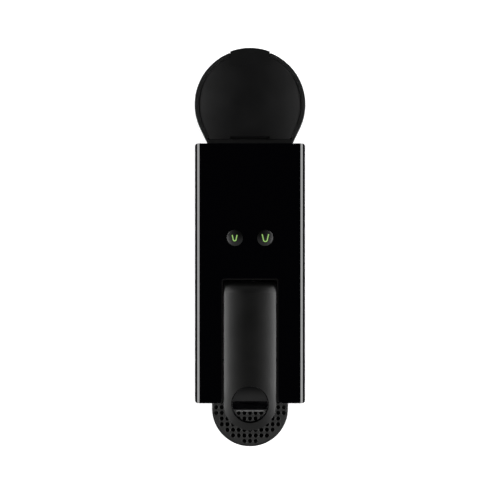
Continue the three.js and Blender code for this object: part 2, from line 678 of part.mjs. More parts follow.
// ---------------------------------------------------------------- buttons
// A cap is a domed disc with a flange that stops it under the shell, on a stem over its switch.
const CAP = {
  foot: 190.4, under: 196, flangeTop: 197.3, edge: 200.9, peak: 201.9, stem: 1.6, flange: 7.2,
};
// A cup drawn as one stroke: two leaning sides and a round bottom, open at the top.
function cupIcon(width, height, stroke, x, y) {
  const half = width / 2 - stroke / 2;
  const foot = half * 0.55;
  const low = y - height / 2 + foot + stroke / 2;
  const t = stroke / 2;
  const shape = new THREE.Shape();
  shape.moveTo(x - half + t, y + height / 2);
  shape.lineTo(x - half - t, y + height / 2);
  shape.absarc(x, low, foot + t, Math.PI, 2 * Math.PI);
  shape.lineTo(x + half + t, y + height / 2);
  shape.lineTo(x + half - t, y + height / 2);
  shape.absarc(x, low, foot - t, 2 * Math.PI, Math.PI, true);
  return shape;
}
const SPRING = { r: 4.2, wire: 0.35, low: 186.8, high: 195.4, turns: 3, perTurn: 8 };
const BUTTONS = [
  { name: 'espresso', x: -BUTTON.x, width: 4.4, height: 4.8 },
  { name: 'lungo', x: BUTTON.x, width: 5.6, height: 5.9 },
];
for (const { name, x, width, height } of BUTTONS) {
  const y = BUTTON.y;
  const cap = turned([
    [0, CAP.foot], [CAP.stem, CAP.foot], [CAP.stem, CAP.under], [CAP.flange, CAP.under],
    [CAP.flange, CAP.flangeTop], [BUTTON.r, CAP.flangeTop], [BUTTON.r, CAP.edge],
    [BUTTON.r * 0.7, (CAP.edge + CAP.peak) / 2], [BUTTON.r * 0.35, CAP.peak - 0.12], [0, CAP.peak],
  ], x, y, 20);
  const floor = 199.4;
  const pocket = extrude('z', cupIcon(width + 0.5, height + 0.5, 1.3, x, y), floor, 205, 6);
  piece(`${name}_button`, cut(cap, pocket), satinBlack);
  const lightGuide = extrude('z', cupIcon(width, height, 0.8, x, y), floor + 0.2, CAP.edge, 6);
  piece(`${name}_icon`, lightGuide, iconGreen);
  const { r, wire, low, high, turns, perTurn } = SPRING;
  const steps = turns * perTurn;
  const coil = Array.from({ length: steps + 1 }, (_, i) => {
    const turn = (2 * Math.PI * i) / perTurn;
    return [x + r * Math.cos(turn), y + r * Math.sin(turn), low + ((high - low) * i) / steps];
  });
  piece(`${name}_spring`, tube(coil, wire, steps, 5), steel);
}
function controlBoard() {
  const switches = BUTTONS.map(({ x }) => box(x - 2, x + 2, BUTTON.y - 2, BUTTON.y + 2, 185, 188.6));
  const lamps = BUTTONS.map(({ x }) => box(x - 1.2, x + 1.2, BUTTON.y + 6, BUTTON.y + 8, 185, 187));
  return join(box(-24, 24, 9, 37, 184.4, 186), box(-6, 6, 28, 35, 185, 189), ...switches, ...lamps);
}
piece('control_board', controlBoard(), boardGreen);

// ---------------------------------------------------------------- water path
const PUMP = { x: -17, y: 60 };
piece('pump_body', cut(
  join(
    rod('z', 3, 36.3, 46, PUMP.x, PUMP.y, 16),
    rod('z', 10, 44, 60, PUMP.x, PUMP.y, 24),
    box(PUMP.x - 16, PUMP.x + 16, PUMP.y - 17, PUMP.y + 17, 58, 100),
    rod('z', 9, 98, 118, PUMP.x, PUMP.y, 24),
  ),
  rod('z', 5, 62, 130, PUMP.x, PUMP.y, 20),
), coilBlue);
piece('pump_head', join(
  rod('z', 11, 118.3, 127, PUMP.x, PUMP.y, 24),
  rod('z', 3, 126, 136, PUMP.x, PUMP.y, 16),
), naturalPlastic);
piece('pump_plunger', rod('z', 4.6, 70, 112, PUMP.x, PUMP.y, 20), steel);
const ringAround = (inner, outer, z0, z1) =>
  turned([[inner, z0], [outer, z0], [outer, z1], [inner, z1]], PUMP.x, PUMP.y, 24);
piece('pump_mount_lower', ringAround(10.3, 16, 46.5, 54), rubber);
piece('pump_mount_upper', ringAround(9.3, 15, 104, 111), rubber);

const METER = { x: 18, y: 50, r: 15 };
piece('flow_meter_body', join(
  cut(
    join(
      rod('z', METER.r, 13.5, 30, METER.x, METER.y, 24),
      rod('y', 2.5, METER.y + 12, METER.y + 18, METER.x - 6, 21, 16),
      rod('x', 2.5, -1, METER.x - 13, METER.y, 24, 16),
    ),
    rod('z', 12.6, 16, 40, METER.x, METER.y, 24),
  ),
  rod('z', 1.2, 15, 29, METER.x, METER.y, 12),
), naturalPlastic);
piece('flow_meter_lid', rod('z', METER.r, 30.3, 33, METER.x, METER.y, 24), naturalPlastic);
function meterRotor() {
  const vanes = [0, 1, 2].map((i) => {
    const vane = new THREE.BoxGeometry(23, 1.4, 9).rotateZ((Math.PI * i) / 3);
    return solid(vane.translate(METER.x, METER.y, 22.5));
  });
  return cut(join(rod('z', 3.4, 17.5, 28, METER.x, METER.y, 16), ...vanes),
    rod('z', 1.5, 10, 40, METER.x, METER.y, 12));
}
piece('flow_meter_rotor', meterRotor(), silicone);

function thermoblock() {
  const ribs = [0, 1, 2, 3, 4, 5].map((i) => box(4, 34, 35, 65, 98 + i * 10, 102 + i * 10));
  return join(
    box(6, 32, 34, 66, 95, 158),
    ...ribs,
    rod('y', 3, 28, 36, 12, 150, 16),
    rod('z', 3, 155, 164, 24, 58, 16),
  );
}
piece('thermoblock', thermoblock(), castAluminium);
piece('thermostat', join(
  rod('y', 7, 30, 33.7, 22, 118, 20),
  rod('y', 5, 27.5, 30.5, 22, 118, 20),
), steel);

const HOSES = {
  hose_inlet: [[0, 97.6, 16], [0, 90, 16], [5, 82, 17.5], [11, 75.5, 20.5], [12, 72, 21],
    [12, 68.4, 21]],
  hose_pump_feed: [[-1.5, 50, 24], [-7, 50, 24], [-14, 53, 25], [-17, 59, 29], [-17, 60, 32],
    [-17, 60, 35.9]],
  hose_boiler_feed: [[-17, 60, 136.4], [-17, 60, 150], [-12, 60, 166], [2, 59.5, 176], [17, 58.5, 176],
    [24, 58, 169], [24, 58, 164.5]],
  hose_brew: [[12, 27.4, 150], [12, 22, 150], [12, 8, 153], [8, -6, 160], [3, -20, 159], [0, -30, 155.5],
    [0, -35.6, 155.5]],
};
const HOSE_RADIUS = 2.9;
for (const [name, points] of Object.entries(HOSES)) {
  piece(name, tube(points, HOSE_RADIUS, 12), silicone);
}

function powerBoard() {
  return join(
    box(-36.6, -35, 12, 78, 134, 181),
    box(-35.5, -26, 16, 34, 142, 160),
    rod('x', 6, -35.5, -20, 46, 163, 20),
    box(-35.5, -24, 58, 74, 140, 158),
  );
}
piece('power_board', powerBoard(), boardGreen);

// ---------------------------------------------------------------- tray, bin, cup support and grid
function dripTray() {
  const outline = (rear, inset) => trayOutline(TRAY.half, TRAY.roundY, rear, inset);
  const wall = 1.8;
  const floor = TRAY.bottom + wall;
  return cut(
    extrude('z', outline(TRAY.rear, 0), TRAY.bottom, TRAY.top, 16),
    extrude('z', outline(-66, wall), floor, 40, 16),
    box(-TRAY.half + wall, TRAY.half - wall, -66, TRAY.rear - wall, floor, 32),
  );
}
piece('drip_tray', dripTray(), satinBlack);

function capsuleBin() {
  const wall = 1.8;
  const drains = [-12, 0, 12].map((x) => box(x - 1.5, x + 1.5, -52, -22, 0, 32));
  return cut(
    box(-BIN.half, BIN.half, BIN.front, BIN.rear, BIN.bottom, BIN.top),
    box(-BIN.half + wall, BIN.half - wall, BIN.front + wall, BIN.rear - wall, BIN.bottom + wall, 150),
    ...drains,
  );
}
piece('capsule_bin', capsuleBin(), satinBlack);

function cupSupport() {
  const outline = (inset) => trayOutline(TRAY.half, TRAY.roundY, STAND_REAR, inset);
  return cut(
    extrude('z', outline(0), BIN.bottom, STAND_TOP, 20),
    extrude('z', outline(2), 0, STAND_TOP - 4, 20),
    extrude('z', outline(3.6), 0, 60, 20),
    extrude('z', outline(0.8), STAND_TOP - 2.4, 60, 20),
  );
}
piece('cup_support', cupSupport(), satinBlack);

function dripGrid() {
  const outline = trayOutline(TRAY.half, TRAY.roundY, STAND_REAR, 1.05);
  for (let row = 0; row < GRID.rows; row += 1) {
    const y = GRID.rowFront + row * GRID.pitch;
    for (let column = -GRID.columns; column <= GRID.columns; column += 1) {
      const x = column * GRID.pitch;
      if (y < TRAY.roundY + 2 && Math.hypot(x, y - TRAY.roundY) > 6.07 * GRID.pitch) continue;
      const hole = new THREE.Path();
      for (let i = 0; i < 6; i += 1) {
        const turn = (Math.PI * i) / 3;
        const point = [x + GRID.hole * Math.cos(turn), y + GRID.hole * Math.sin(turn)];
        if (i === 0) hole.moveTo(...point);
        else hole.lineTo(...point);
      }
      hole.closePath();
      outline.holes.push(hole);
    }
  }
  return extrude('z', outline, STAND_TOP - 2.2, STAND_TOP - 0.2, 20);
}
piece('drip_grid', dripGrid(), satinBlack);

export default machine;
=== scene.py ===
# %% [markdown]
# # A slim pod coffee machine
#
# The machine stands with its drip tray towards -Y, its tank towards +Y and its lever on top.
# The frame already holds every sub-part at its true place and size. This lesson dresses that
# frame with finer meshes and with finishes worked out by nodes, and lights it in a small studio.

# %% Load the frame
import json
import math

import bmesh
import bpy
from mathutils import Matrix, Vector

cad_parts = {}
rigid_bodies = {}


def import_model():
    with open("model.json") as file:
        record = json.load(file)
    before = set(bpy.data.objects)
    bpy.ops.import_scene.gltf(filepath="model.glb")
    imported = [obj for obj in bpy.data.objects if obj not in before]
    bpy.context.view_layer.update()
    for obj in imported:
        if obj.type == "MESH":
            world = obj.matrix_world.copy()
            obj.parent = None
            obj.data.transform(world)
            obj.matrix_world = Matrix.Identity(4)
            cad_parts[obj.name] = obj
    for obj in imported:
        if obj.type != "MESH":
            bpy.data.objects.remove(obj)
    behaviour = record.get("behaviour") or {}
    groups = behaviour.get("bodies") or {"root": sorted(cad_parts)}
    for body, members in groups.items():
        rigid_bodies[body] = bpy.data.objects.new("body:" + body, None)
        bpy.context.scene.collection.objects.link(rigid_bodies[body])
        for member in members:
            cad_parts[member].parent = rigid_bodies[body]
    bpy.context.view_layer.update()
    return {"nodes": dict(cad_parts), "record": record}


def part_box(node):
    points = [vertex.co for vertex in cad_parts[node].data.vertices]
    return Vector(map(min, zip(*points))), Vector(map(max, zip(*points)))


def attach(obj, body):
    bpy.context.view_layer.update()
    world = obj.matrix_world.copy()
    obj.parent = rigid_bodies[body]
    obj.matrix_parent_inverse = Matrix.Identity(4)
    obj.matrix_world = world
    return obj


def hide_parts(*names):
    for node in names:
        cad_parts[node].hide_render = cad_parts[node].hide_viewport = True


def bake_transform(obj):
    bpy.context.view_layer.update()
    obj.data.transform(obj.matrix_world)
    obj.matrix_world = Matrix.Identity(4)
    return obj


for leftover in list(bpy.data.objects):
    bpy.data.objects.remove(leftover)
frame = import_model()
MM = 0.001

# %% [markdown]
# ## Writing materials as sums
#
# A material is a small network of nodes, and typed out it is a long list of links. So one class
# wraps an output socket and overloads the usual operators: adding two signals adds an Add node. The
# reflected forms let a plain number stand on the left, as in `1 - mask`. Everything else comes from
# one method, which takes a node's type, its settings and what goes into its sockets.

# %% Signals and finishes
class Signal:
    """A value that varies over a surface, coming out of one socket of a finish."""

    def __init__(self, finish, socket):
        self.finish = finish
        self.socket = socket

    def math(self, operation, *values, clamp=False):
        settings = {"operation": operation, "use_clamp": clamp}
        sockets = {i: value for i, value in enumerate(values)}
        return self.finish.node("ShaderNodeMath", settings, sockets)

    def __add__(self, other):
        return self.math("ADD", self, other)

    def __radd__(self, other):
        return self.math("ADD", other, self)

    def __sub__(self, other):
        return self.math("SUBTRACT", self, other)

    def __rsub__(self, other):
        return self.math("SUBTRACT", other, self)

    def __mul__(self, other):
        return self.math("MULTIPLY", self, other)

    def __rmul__(self, other):
        return self.math("MULTIPLY", other, self)

    def __truediv__(self, other):
        return self.math("DIVIDE", self, other)

    def __rtruediv__(self, other):
        return self.math("DIVIDE", other, self)

    def magnitude(self):
        return self.math("ABSOLUTE", self)

    def folded(self, at):
        """Rises to at and falls back to 0, again and again."""
        return self.math("PINGPONG", self, at)

    def clamped(self):
        return self.math("ADD", self, 0, clamp=True)

    def above(self, edge, soft):
        """0 below edge, 1 above it, with a ramp soft wide between."""
        return ((self - edge) / soft + 0.5).clamped()


class Network:
    """A tree of nodes that ends in one shader."""

    def __init__(self, owner, shader):
        owner.use_nodes = True
        self.tree = owner.node_tree
        self.shader = self.tree.nodes[shader]

    def plug(self, node, label, value):
        socket = node.inputs[label]
        if isinstance(value, Signal):
            self.tree.links.new(value.socket, socket)
        elif socket.type == "RGBA" and len(value) == 3:
            socket.default_value = (*value, 1)
        else:
            socket.default_value = value

    def node(self, kind, settings=None, sockets=None, out=0):
        """Adds a node of any kind. Settings come first, because they decide which sockets it has."""
        made = self.tree.nodes.new(kind)
        for label, value in (settings or {}).items():
            if label == "stops":
                for stop, (position, level) in zip(made.color_ramp.elements, value):
                    stop.position = position
                    stop.color = (level, level, level, 1)
            else:
                setattr(made, label, value)
        for label, value in (sockets or {}).items():
            self.plug(made, label, value)
        return Signal(self, made.outputs[out])

    def feed(self, **labels):
        """Feeds shader sockets: Base_Color=signal, Roughness=0.4 and so on."""
        for label, value in labels.items():
            self.plug(self.shader, label.replace("_", " "), value)
        return self


class Finish(Network):
    """A material, and the patterns that can feed its shader."""

    def __init__(self, name, **constants):
        self.material = bpy.data.materials.new(name)
        super().__init__(self.material, "Principled BSDF")
        self.feed(**constants)

    def place(self, stretch=(1, 1, 1)):
        """The point of the surface in the machine's own frame, in metres, stretched along each axis."""
        point = self.node("ShaderNodeTexCoord", out="Object")
        return self.node("ShaderNodeVectorMath", {"operation": "MULTIPLY"}, {0: point, 1: stretch})

    def along(self, axis, stretch=(1, 1, 1)):
        return self.node("ShaderNodeSeparateXYZ", sockets={0: self.place(stretch)}, out="XYZ".index(axis))

    def noise(self, size, detail=3, stretch=(1, 1, 1), roughness=0.5):
        """Cloudy noise from 0 to 1, with features about size metres across."""
        cloud = {"Vector": self.place(stretch), "Scale": 1 / size, "Detail": detail, "Roughness": roughness}
        return self.node("ShaderNodeTexNoise", {"normalize": True}, cloud)

    def speckle(self, size):
        """Distance from the nearest of many scattered points, for dimples and grain."""
        return self.node("ShaderNodeTexVoronoi", sockets={"Vector": self.place(), "Scale": 1 / size})

    def blend(self, mask, first, second):
        """First colour where the mask is 0, second where it is 1."""
        settings = {"data_type": "RGBA", "clamp_factor": True}
        return self.node("ShaderNodeMix", settings, {0: mask, 6: first, 7: second}, out=2)

    def bumps(self, height, depth, strength=1.0):
        """Raises the surface by depth metres where height is 1."""
        sockets = {"Height": height, "Distance": depth, "Strength": strength}
        return self.feed(Normal=self.node("ShaderNodeBump", sockets=sockets))


print("finishes: write them as sums of signals")

# %% [markdown]
# ## Moulded plastics
#
# Most of the machine is one dark plastic in three surfaces: a mirror gloss, a fine satin and a
# softer satin on the lever. What tells them apart is not the colour but how sharp the reflection
# is, and how the skin breaks it up. The gloss has a long, faint ripple from moulding and a haze
# where hands have wiped it. The satins have a grain of tiny dimples, and the faces that are gently
# round add a shallow swell to it, which spreads a reflection further than their shape alone does.

# %% Gloss and satin plastics
def gloss_plastic(name, colour, haze=0.05):
    finish = Finish(name, Specular_IOR_Level=0.5)
    wiped = finish.noise(0.035, detail=4, stretch=(1, 0.4, 1)).above(0.56, 0.3)
    dust = finish.speckle(0.004).above(0.07, 0.03)
    rough = wiped * haze + (1 - dust) * 0.08 + 0.045
    dusty = [c * 2 + 0.0004 for c in colour]
    finish.feed(Base_Color=finish.blend(dust, dusty, colour), Roughness=rough)
    ripple = finish.noise(0.009, detail=1)
    return finish.bumps(ripple, 0.006 * MM, 0.35)


def satin_plastic(name, colour, rough=0.42, grain=0.5, depth=0.012, swell=None):
    """swell gives a height in metres that is added to the grain, for a face that is gently round."""
    finish = Finish(name, Specular_IOR_Level=0.5)
    dimples = finish.speckle(grain * MM)
    if swell:
        dimples = dimples + swell(finish) / (depth * MM * 0.6)
    cloud = finish.noise(0.02, detail=5)
    rubbed = [c * 1.35 for c in colour]
    finish.feed(
        Base_Color=finish.blend(cloud.above(0.5, 0.5), colour, rubbed),
        Roughness=rough - 0.05 + cloud * 0.1,
    )
    return finish.bumps(dimples, depth * MM, 0.6)


SHELL_BLACK = (0.0006, 0.0006, 0.0009)
SATIN_BLACK = (0.005, 0.0052, 0.0052)
LID_BLACK = (0.0011, 0.0011, 0.0012)
LEVER_GREY = (0.0011, 0.0011, 0.001)
shell_gloss = gloss_plastic("shell_gloss", SHELL_BLACK)
satin = satin_plastic("satin_black", SATIN_BLACK)
lid_satin = satin_plastic("lid_satin", LID_BLACK, 0.34, 0.4, 0.006)


def crown_swell(radius):
    """A wide round of this radius, in metres, from side to side."""
    def height(finish):
        across = finish.along("X")
        return across * across / (-2 * radius)

    return height


lever_satin = satin_plastic("lever_satin", LEVER_GREY, 0.34, 0.35, 0.006, crown_swell(0.18))
crown_satin = satin_plastic("crowned_lid_satin", LID_BLACK, 0.34, 0.4, 0.006, crown_swell(0.21))
grid_satin = satin_plastic("grid_satin", (0.009, 0.009, 0.0087), rough=0.4)
inner_satin = satin_plastic("inner_plastic", (0.035, 0.037, 0.04), rough=0.55, grain=0.8, depth=0.02)
print("plastics:", len(bpy.data.materials))

# %% [markdown]
# The tank is moulded in a smoky clear plastic. Light passes through two thin walls, so each wall
# needs only a light tint for the whole to look dark. Faint vertical flow marks and a fine film of
# scale near the water line keep it from looking like perfect glass. The rim is frosted and nearly
# black, because a clear groove would sparkle.

# %% Smoky tank plastic
def smoky_plastic(name, tint, water_line, rim):
    finish = Finish(name, Transmission_Weight=1.0, IOR=1.49, Specular_IOR_Level=0.5)
    height = finish.along("Z")
    frosted = height.above(rim, 0.002)
    film = finish.noise(0.012, detail=6, stretch=(1, 1, 2.5))
    ring = height.above(water_line - 0.004, 0.006) * (1 - height.above(water_line + 0.003, 0.004))
    scale = (ring * film * 0.7).clamped()
    streaks = finish.noise(0.006, detail=2, stretch=(1, 1, 0.08))
    clear = finish.blend(scale, tint, [c * 1.5 for c in tint])
    finish.feed(
        Base_Color=finish.blend(frosted, clear, (0.004, 0.004, 0.004)),
        Roughness=scale * 0.3 + streaks * 0.03 + frosted * 0.36 + 0.03,
    )
    return finish.bumps(streaks, 0.03 * MM, 0.4)


# %% [markdown]
# ## Metals, rubber and the rest
#
# Rolled steel is brushed: its scratches run one way, so the noise behind its roughness and bump is
# stretched along that way. Cast aluminium is the opposite, an even pitting. Rubber is dull and
# slightly dusty, silicone milky. A circuit board gets copper tracks from a grid of bands, and the
# pump's coil gets windings, with painted shade darkening the grooves between the turns.

# %% Metals, rubbers and electrics
def brushed_steel(name, colour, stretch=(1, 0.03, 1)):
    finish = Finish(name, Metallic=1.0)
    scratches = finish.noise(0.0004, detail=3, stretch=stretch)
    stains = finish.noise(0.02, detail=4)
    finish.feed(
        Base_Color=finish.blend(stains, colour, [c * 0.82 for c in colour]),
        Roughness=scratches * 0.18 + 0.2,
    )
    return finish.bumps(scratches, 0.01 * MM, 0.5)


def cast_metal(name, colour):
    finish = Finish(name, Metallic=1.0)
    pits = finish.noise(0.0012, detail=6, roughness=0.7)
    pitted = finish.blend(pits, [c * 0.7 for c in colour], colour)
    finish.feed(Base_Color=pitted, Roughness=pits * 0.3 + 0.35)
    return finish.bumps(pits, 0.1 * MM, 0.8)


def rubber_skin(name, colour, rough=0.8):
    finish = Finish(name, Specular_IOR_Level=0.35)
    dust = finish.noise(0.003, detail=6, roughness=0.65).above(0.6, 0.3)
    finish.feed(
        Base_Color=finish.blend(dust * 0.4, colour, [c * 1.6 + 0.01 for c in colour]),
        Roughness=rough + dust * 0.1,
    )
    return finish.bumps(finish.speckle(0.6 * MM), 0.02 * MM, 0.5)


def board_lacquer(name):
    finish = Finish(name, Coat_Weight=0.4)
    bands = [finish.along(axis) / (2.2 * MM) for axis in "YZ"]
    tracks = [band.folded(1) for band in bands]
    maze = finish.noise(0.004, detail=0).above(0.5, 0.02)
    lines = (tracks[0] * maze + tracks[1] * (1 - maze)).above(0.68, 0.06)
    lacquer = finish.blend(lines, (0.006, 0.045, 0.022), (0.015, 0.09, 0.045))
    finish.feed(Base_Color=lacquer, Roughness=0.35 - lines * 0.08)
    return finish.bumps(lines, 0.04 * MM, 0.6)


def coil_winding(name, colour):
    finish = Finish(name, Specular_IOR_Level=0.5)
    turns = finish.along("Z") / (0.7 * MM)
    ridge = turns.folded(0.5) * 2
    # Painted shade: the colour halves in the grooves between turns, where the bump is lowest.
    wire_with_groove_shade = finish.blend(ridge, [c * 0.5 for c in colour], colour)
    finish.feed(Base_Color=wire_with_groove_shade, Roughness=0.5 - ridge * 0.15)
    return finish.bumps(ridge, 0.12 * MM, 0.7)


steel = brushed_steel("brushed_steel", (0.56, 0.57, 0.58))
cast = cast_metal("cast_aluminium", (0.5, 0.51, 0.52))
rubber = rubber_skin("black_rubber", (0.012, 0.012, 0.012))
silicone = rubber_skin("milky_silicone", (0.55, 0.53, 0.48), rough=0.45)
board = board_lacquer("board_lacquer")
coil = coil_winding("coil_winding", (0.035, 0.06, 0.12))
tank_low, tank_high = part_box("water_tank")
WATER_LINE, FROSTED_FROM = tank_low.z + 120 * MM, tank_high.z - 9 * MM
smoke = smoky_plastic("smoky_tank", (0.07, 0.075, 0.08), WATER_LINE, FROSTED_FROM)
print("finishes so far:", len(bpy.data.materials))

# %% [markdown]
# ## Shapes from outlines
#
# Nearly every moulding here starts as a flat outline pushed along an axis, then cut by other
# outlines. Solids are joined and cut with the Boolean modifier, which is applied at once, and a
# last bevel gives each edge the small radius that every moulded or pressed part has.

# %% Outlines
def arc(centre, radius, start, end, steps=24):
    """Points along an arc, angles in degrees."""
    turns = [math.radians(start + (end - start) * i / steps) for i in range(steps + 1)]
    return [(centre[0] + radius * math.cos(t), centre[1] + radius * math.sin(t)) for t in turns]


def rounded_box(x0, x1, y0, y1, r, steps=8):
    corners = [(x1 - r, y0 + r, -90), (x1 - r, y1 - r, 0), (x0 + r, y1 - r, 90), (x0 + r, y0 + r, 180)]
    return [p for x, y, start in corners for p in arc((x, y), r, start, start + 90, steps)]


def d_outline(half, round_y, rear, steps=64, corner=0.0):
    """Seen from above: straight sides, a half round front towards -Y."""
    points = arc((0, round_y), half, 180, 360, steps)
    if corner:
        points += arc((half - corner, rear - corner), corner, 0, 90, 6)
        points += arc((-half + corner, rear - corner), corner, 90, 180, 6)
        return points
    return points + [(half, rear), (-half, rear)]


# %% [markdown]
# A solid is built face by face in a bmesh, Blender's mesh editor for scripts. A scaled primitive
# would be shorter to write, but it can't follow a real section.

# %% Solids
def new_piece(mesh):
    piece = bpy.data.objects.new("shape", mesh)
    bpy.context.scene.collection.objects.link(piece)
    return piece


def solid(shape):
    """Turns a bmesh into a piece whose faces all point outwards."""
    bmesh.ops.recalc_face_normals(shape, faces=shape.faces)
    mesh = bpy.data.meshes.new("shape")
    shape.to_mesh(mesh)
    shape.free()
    return new_piece(mesh)


def sides(shape, near, far):
    """Fills the band between two rings of vertices with four-sided faces."""
    for i in range(len(near)):
        j = (i + 1) % len(near)
        shape.faces.new((near[i], near[j], far[j], far[i]))


def prism(axis, outline, low, high):
    """A solid from an outline: in XY for z, XZ for y, YZ for x."""
    place = {
        "x": lambda a, b, t: (t, a, b),
        "y": lambda a, b, t: (a, t, b),
        "z": lambda a, b, t: (a, b, t),
    }[axis]
    shape = bmesh.new()
    rings = [[shape.verts.new(place(a, b, t)) for a, b in outline] for t in (low, high)]
    sides(shape, *rings)
    for ring in rings:
        shape.faces.new(ring)
    return solid(shape)


def block(x0, x1, y0, y1, z0, z1):
    return prism("z", [(x0, y0), (x1, y0), (x1, y1), (x0, y1)], z0, z1)


def bar(axis, radius, low, high, centre, steps=48):
    """A round bar along an axis. The centre is given on the other two axes, in X, Y, Z order."""
    return prism(axis, arc(centre, radius, 0, 360, steps)[:-1], low, high)


ON_AXIS = 1e-7


def turned(profile, x, y, steps=64):
    """A closed profile of (radius, height) points turned about an upright line through (x, y)."""
    shape = bmesh.new()
    rings = []
    for radius, height in profile:
        if radius < ON_AXIS:
            rings.append([shape.verts.new((0, 0, height))])
            continue
        ring = arc((0, 0), radius, 0, 360, steps)[:-1]
        rings.append([shape.verts.new((a, b, height)) for a, b in ring])
    closed = profile[0][0] > ON_AXIS or profile[-1][0] > ON_AXIS
    pairs = list(zip(rings, rings[1:])) + ([(rings[-1], rings[0])] if closed else [])
    for lower, upper in pairs:
        for i in range(steps):
            j = (i + 1) % steps
            corners = [ring[k % len(ring)] for ring, k in ((lower, i), (lower, j), (upper, j), (upper, i))]
            corners = list(dict.fromkeys(corners))
            if len(corners) > 2:
                shape.faces.new(corners)
    piece = solid(shape)
    for vertex in piece.data.vertices:
        vertex.co.x += x
        vertex.co.y += y
    return piece


def baked(piece):
    """Applies a piece's modifiers to its mesh."""
    seen = piece.evaluated_get(bpy.context.evaluated_depsgraph_get())
    mesh = bpy.data.meshes.new_from_object(seen)
    old = piece.data
    piece.modifiers.clear()
    piece.data = mesh
    bpy.data.meshes.remove(old)
    return piece


def combine(operation, first, *others):
    for other in others:
        step = first.modifiers.new("combine", "BOOLEAN")
        step.operation = operation
        step.solver = "EXACT"
        step.object = other
        baked(first)
        bpy.data.objects.remove(other)
    return first


def join(first, *others):
    return combine("UNION", first, *others)


def cut(first, *others):
    return combine("DIFFERENCE", first, *others)


def common(first, *others):
    return combine("INTERSECT", first, *others)


# %% [markdown]
# Three calls turn a shape into a finished piece. `soften` rounds its sharp edges and shades it
# smoothly between them, `dress` gives it its finish, its CAD body and the sub-parts it stands for,
# and `refined` does both to a copy of a sub-part whose shape only needs its edges rounding.

# %% Finishing a piece
WELD = 0.002 * MM
FLAT = math.radians(0.5)


def soften(piece, width, segments=3, angle=38):
    """Rounds edges that turn by more than angle degrees, and shades smoothly in between."""
    shape = bmesh.new()
    shape.from_mesh(piece.data)
    bmesh.ops.remove_doubles(shape, verts=shape.verts, dist=WELD)
    bmesh.ops.dissolve_degenerate(shape, edges=shape.edges, dist=WELD)
    bmesh.ops.dissolve_limit(shape, angle_limit=FLAT, verts=shape.verts, edges=shape.edges)
    shape.to_mesh(piece.data)
    shape.free()
    if width:
        edge = piece.modifiers.new("edge", "BEVEL")
        edge.width = width
        edge.segments = segments
        edge.limit_method = "ANGLE"
        edge.angle_limit = math.radians(angle)
        edge.use_clamp_overlap = True
        edge.harden_normals = False
        edge.miter_outer = "MITER_ARC"
    return shaded(baked(piece), 35, 80)


def shaded(piece, angle, weight):
    """Smooth shading that stops at edges which turn by more than angle degrees."""
    piece.data.shade_smooth()
    shape = bmesh.new()
    shape.from_mesh(piece.data)
    for edge in shape.edges:
        edge.smooth = edge.calc_face_angle(0) < math.radians(angle)
    shape.to_mesh(piece.data)
    shape.free()
    weigh = piece.modifiers.new("weigh", "WEIGHTED_NORMAL")
    weigh.keep_sharp = True
    weigh.weight = weight
    return baked(piece)


BODIES = frame["record"]["behaviour"]["bodies"]


def paint(piece, name, finish):
    piece.name = name
    piece.data.name = name
    piece.data.materials.clear()
    piece.data.materials.append(finish.material)


def dress(piece, name, finish, node):
    paint(piece, name, finish)
    body = next(body for body, nodes in BODIES.items() if node in nodes)
    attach(piece, body)
    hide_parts(node)
    return piece


def middle_of(node):
    """The middle of a sub-part as seen from above."""
    low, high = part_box(node)
    return (low.x + high.x) / 2, (low.y + high.y) / 2


def copied(node):
    return new_piece(frame["nodes"][node].data.copy())


def refined(node, finish, width=0.35 * MM, segments=2):
    """A sub-part's own shape with its edges rounded."""
    piece = copied(node)
    soften(piece, width, segments)
    return dress(piece, node + "_fine", finish, node)


print("shape helpers ready")

# %% [markdown]
# ## The casing
#
# The casing is one moulding: a top and two sides, with a step under the head for the cup. Each top
# edge is a narrow flat land beside a slope that eases into the top. A plain radius would be simpler,
# but a slope of about 30 degrees mirrors a light at the side as one clean bright stripe. The casing
# is the shape common to a front view, a side view and a plan. The lever's slot and the two button
# holes are cut last, so their rims take the same fine bevel.

# %% Driving sizes of the casing, read from the frame
shell_low, shell_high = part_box("outer_shell")
HALF = shell_high.x
FRONT, REAR = shell_low.y, shell_high.y
TOP, FOOT = shell_high.z, shell_low.z
WALL = 2.5 * MM
EDGE = 4.2 * MM
LAND, LAND_DROP = 1.5 * MM, 1.25 * MM
BUTTON_HOLE = 6.45 * MM
PAST = 10 * MM
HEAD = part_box("head_base")[1].z - 2.4 * MM
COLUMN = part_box("bay_liner")[0].y - 0.2 * MM
bed_low, bed_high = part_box("lever_bed")
lever_low, lever_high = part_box("lever_arm")
LEVER_HALF = lever_high.x
SLOT_HALF = LEVER_HALF + 1.95 * MM
SLOT_REAR = lever_high.y + 1.7 * MM
print(f"casing {2 * HALF / MM:.1f} mm wide, {(REAR - FRONT) / MM:.1f} mm long")


# %% Outer shell
def top_edge():
    """The right top edge in section: a narrow land, a sloping and slightly round face, a blend."""
    land_z, blend_drop = TOP - LAND_DROP, 0.1 * MM
    steep, easy = 90 - 38, 90 - 25
    start, end = math.radians(steep), math.radians(easy)
    radius = (LAND_DROP - blend_drop) / (math.sin(end) - math.sin(start))
    middle = (HALF - LAND - radius * math.cos(start), land_z - radius * math.sin(start))
    slope = arc(middle, radius, steep, easy, 10)
    blend_radius = blend_drop / (1 - math.sin(end))
    blend_middle = (slope[-1][0] - blend_radius * math.cos(end), TOP - blend_radius)
    return [(HALF, land_z), *slope, *arc(blend_middle, blend_radius, easy, 90, 6)[1:]]


def shell_section():
    inner = EDGE - WALL
    edge = top_edge()
    inside = arc((-HALF + EDGE, TOP - EDGE), inner, 180, 90, 8)
    inside += arc((HALF - EDGE, TOP - EDGE), inner, 90, 0, 8)
    outside = edge + [(-x, z) for x, z in reversed(edge)]
    return [(HALF, 0), *outside, (-HALF, 0), (-HALF + WALL, 0), *inside, (HALF - WALL, 0)]


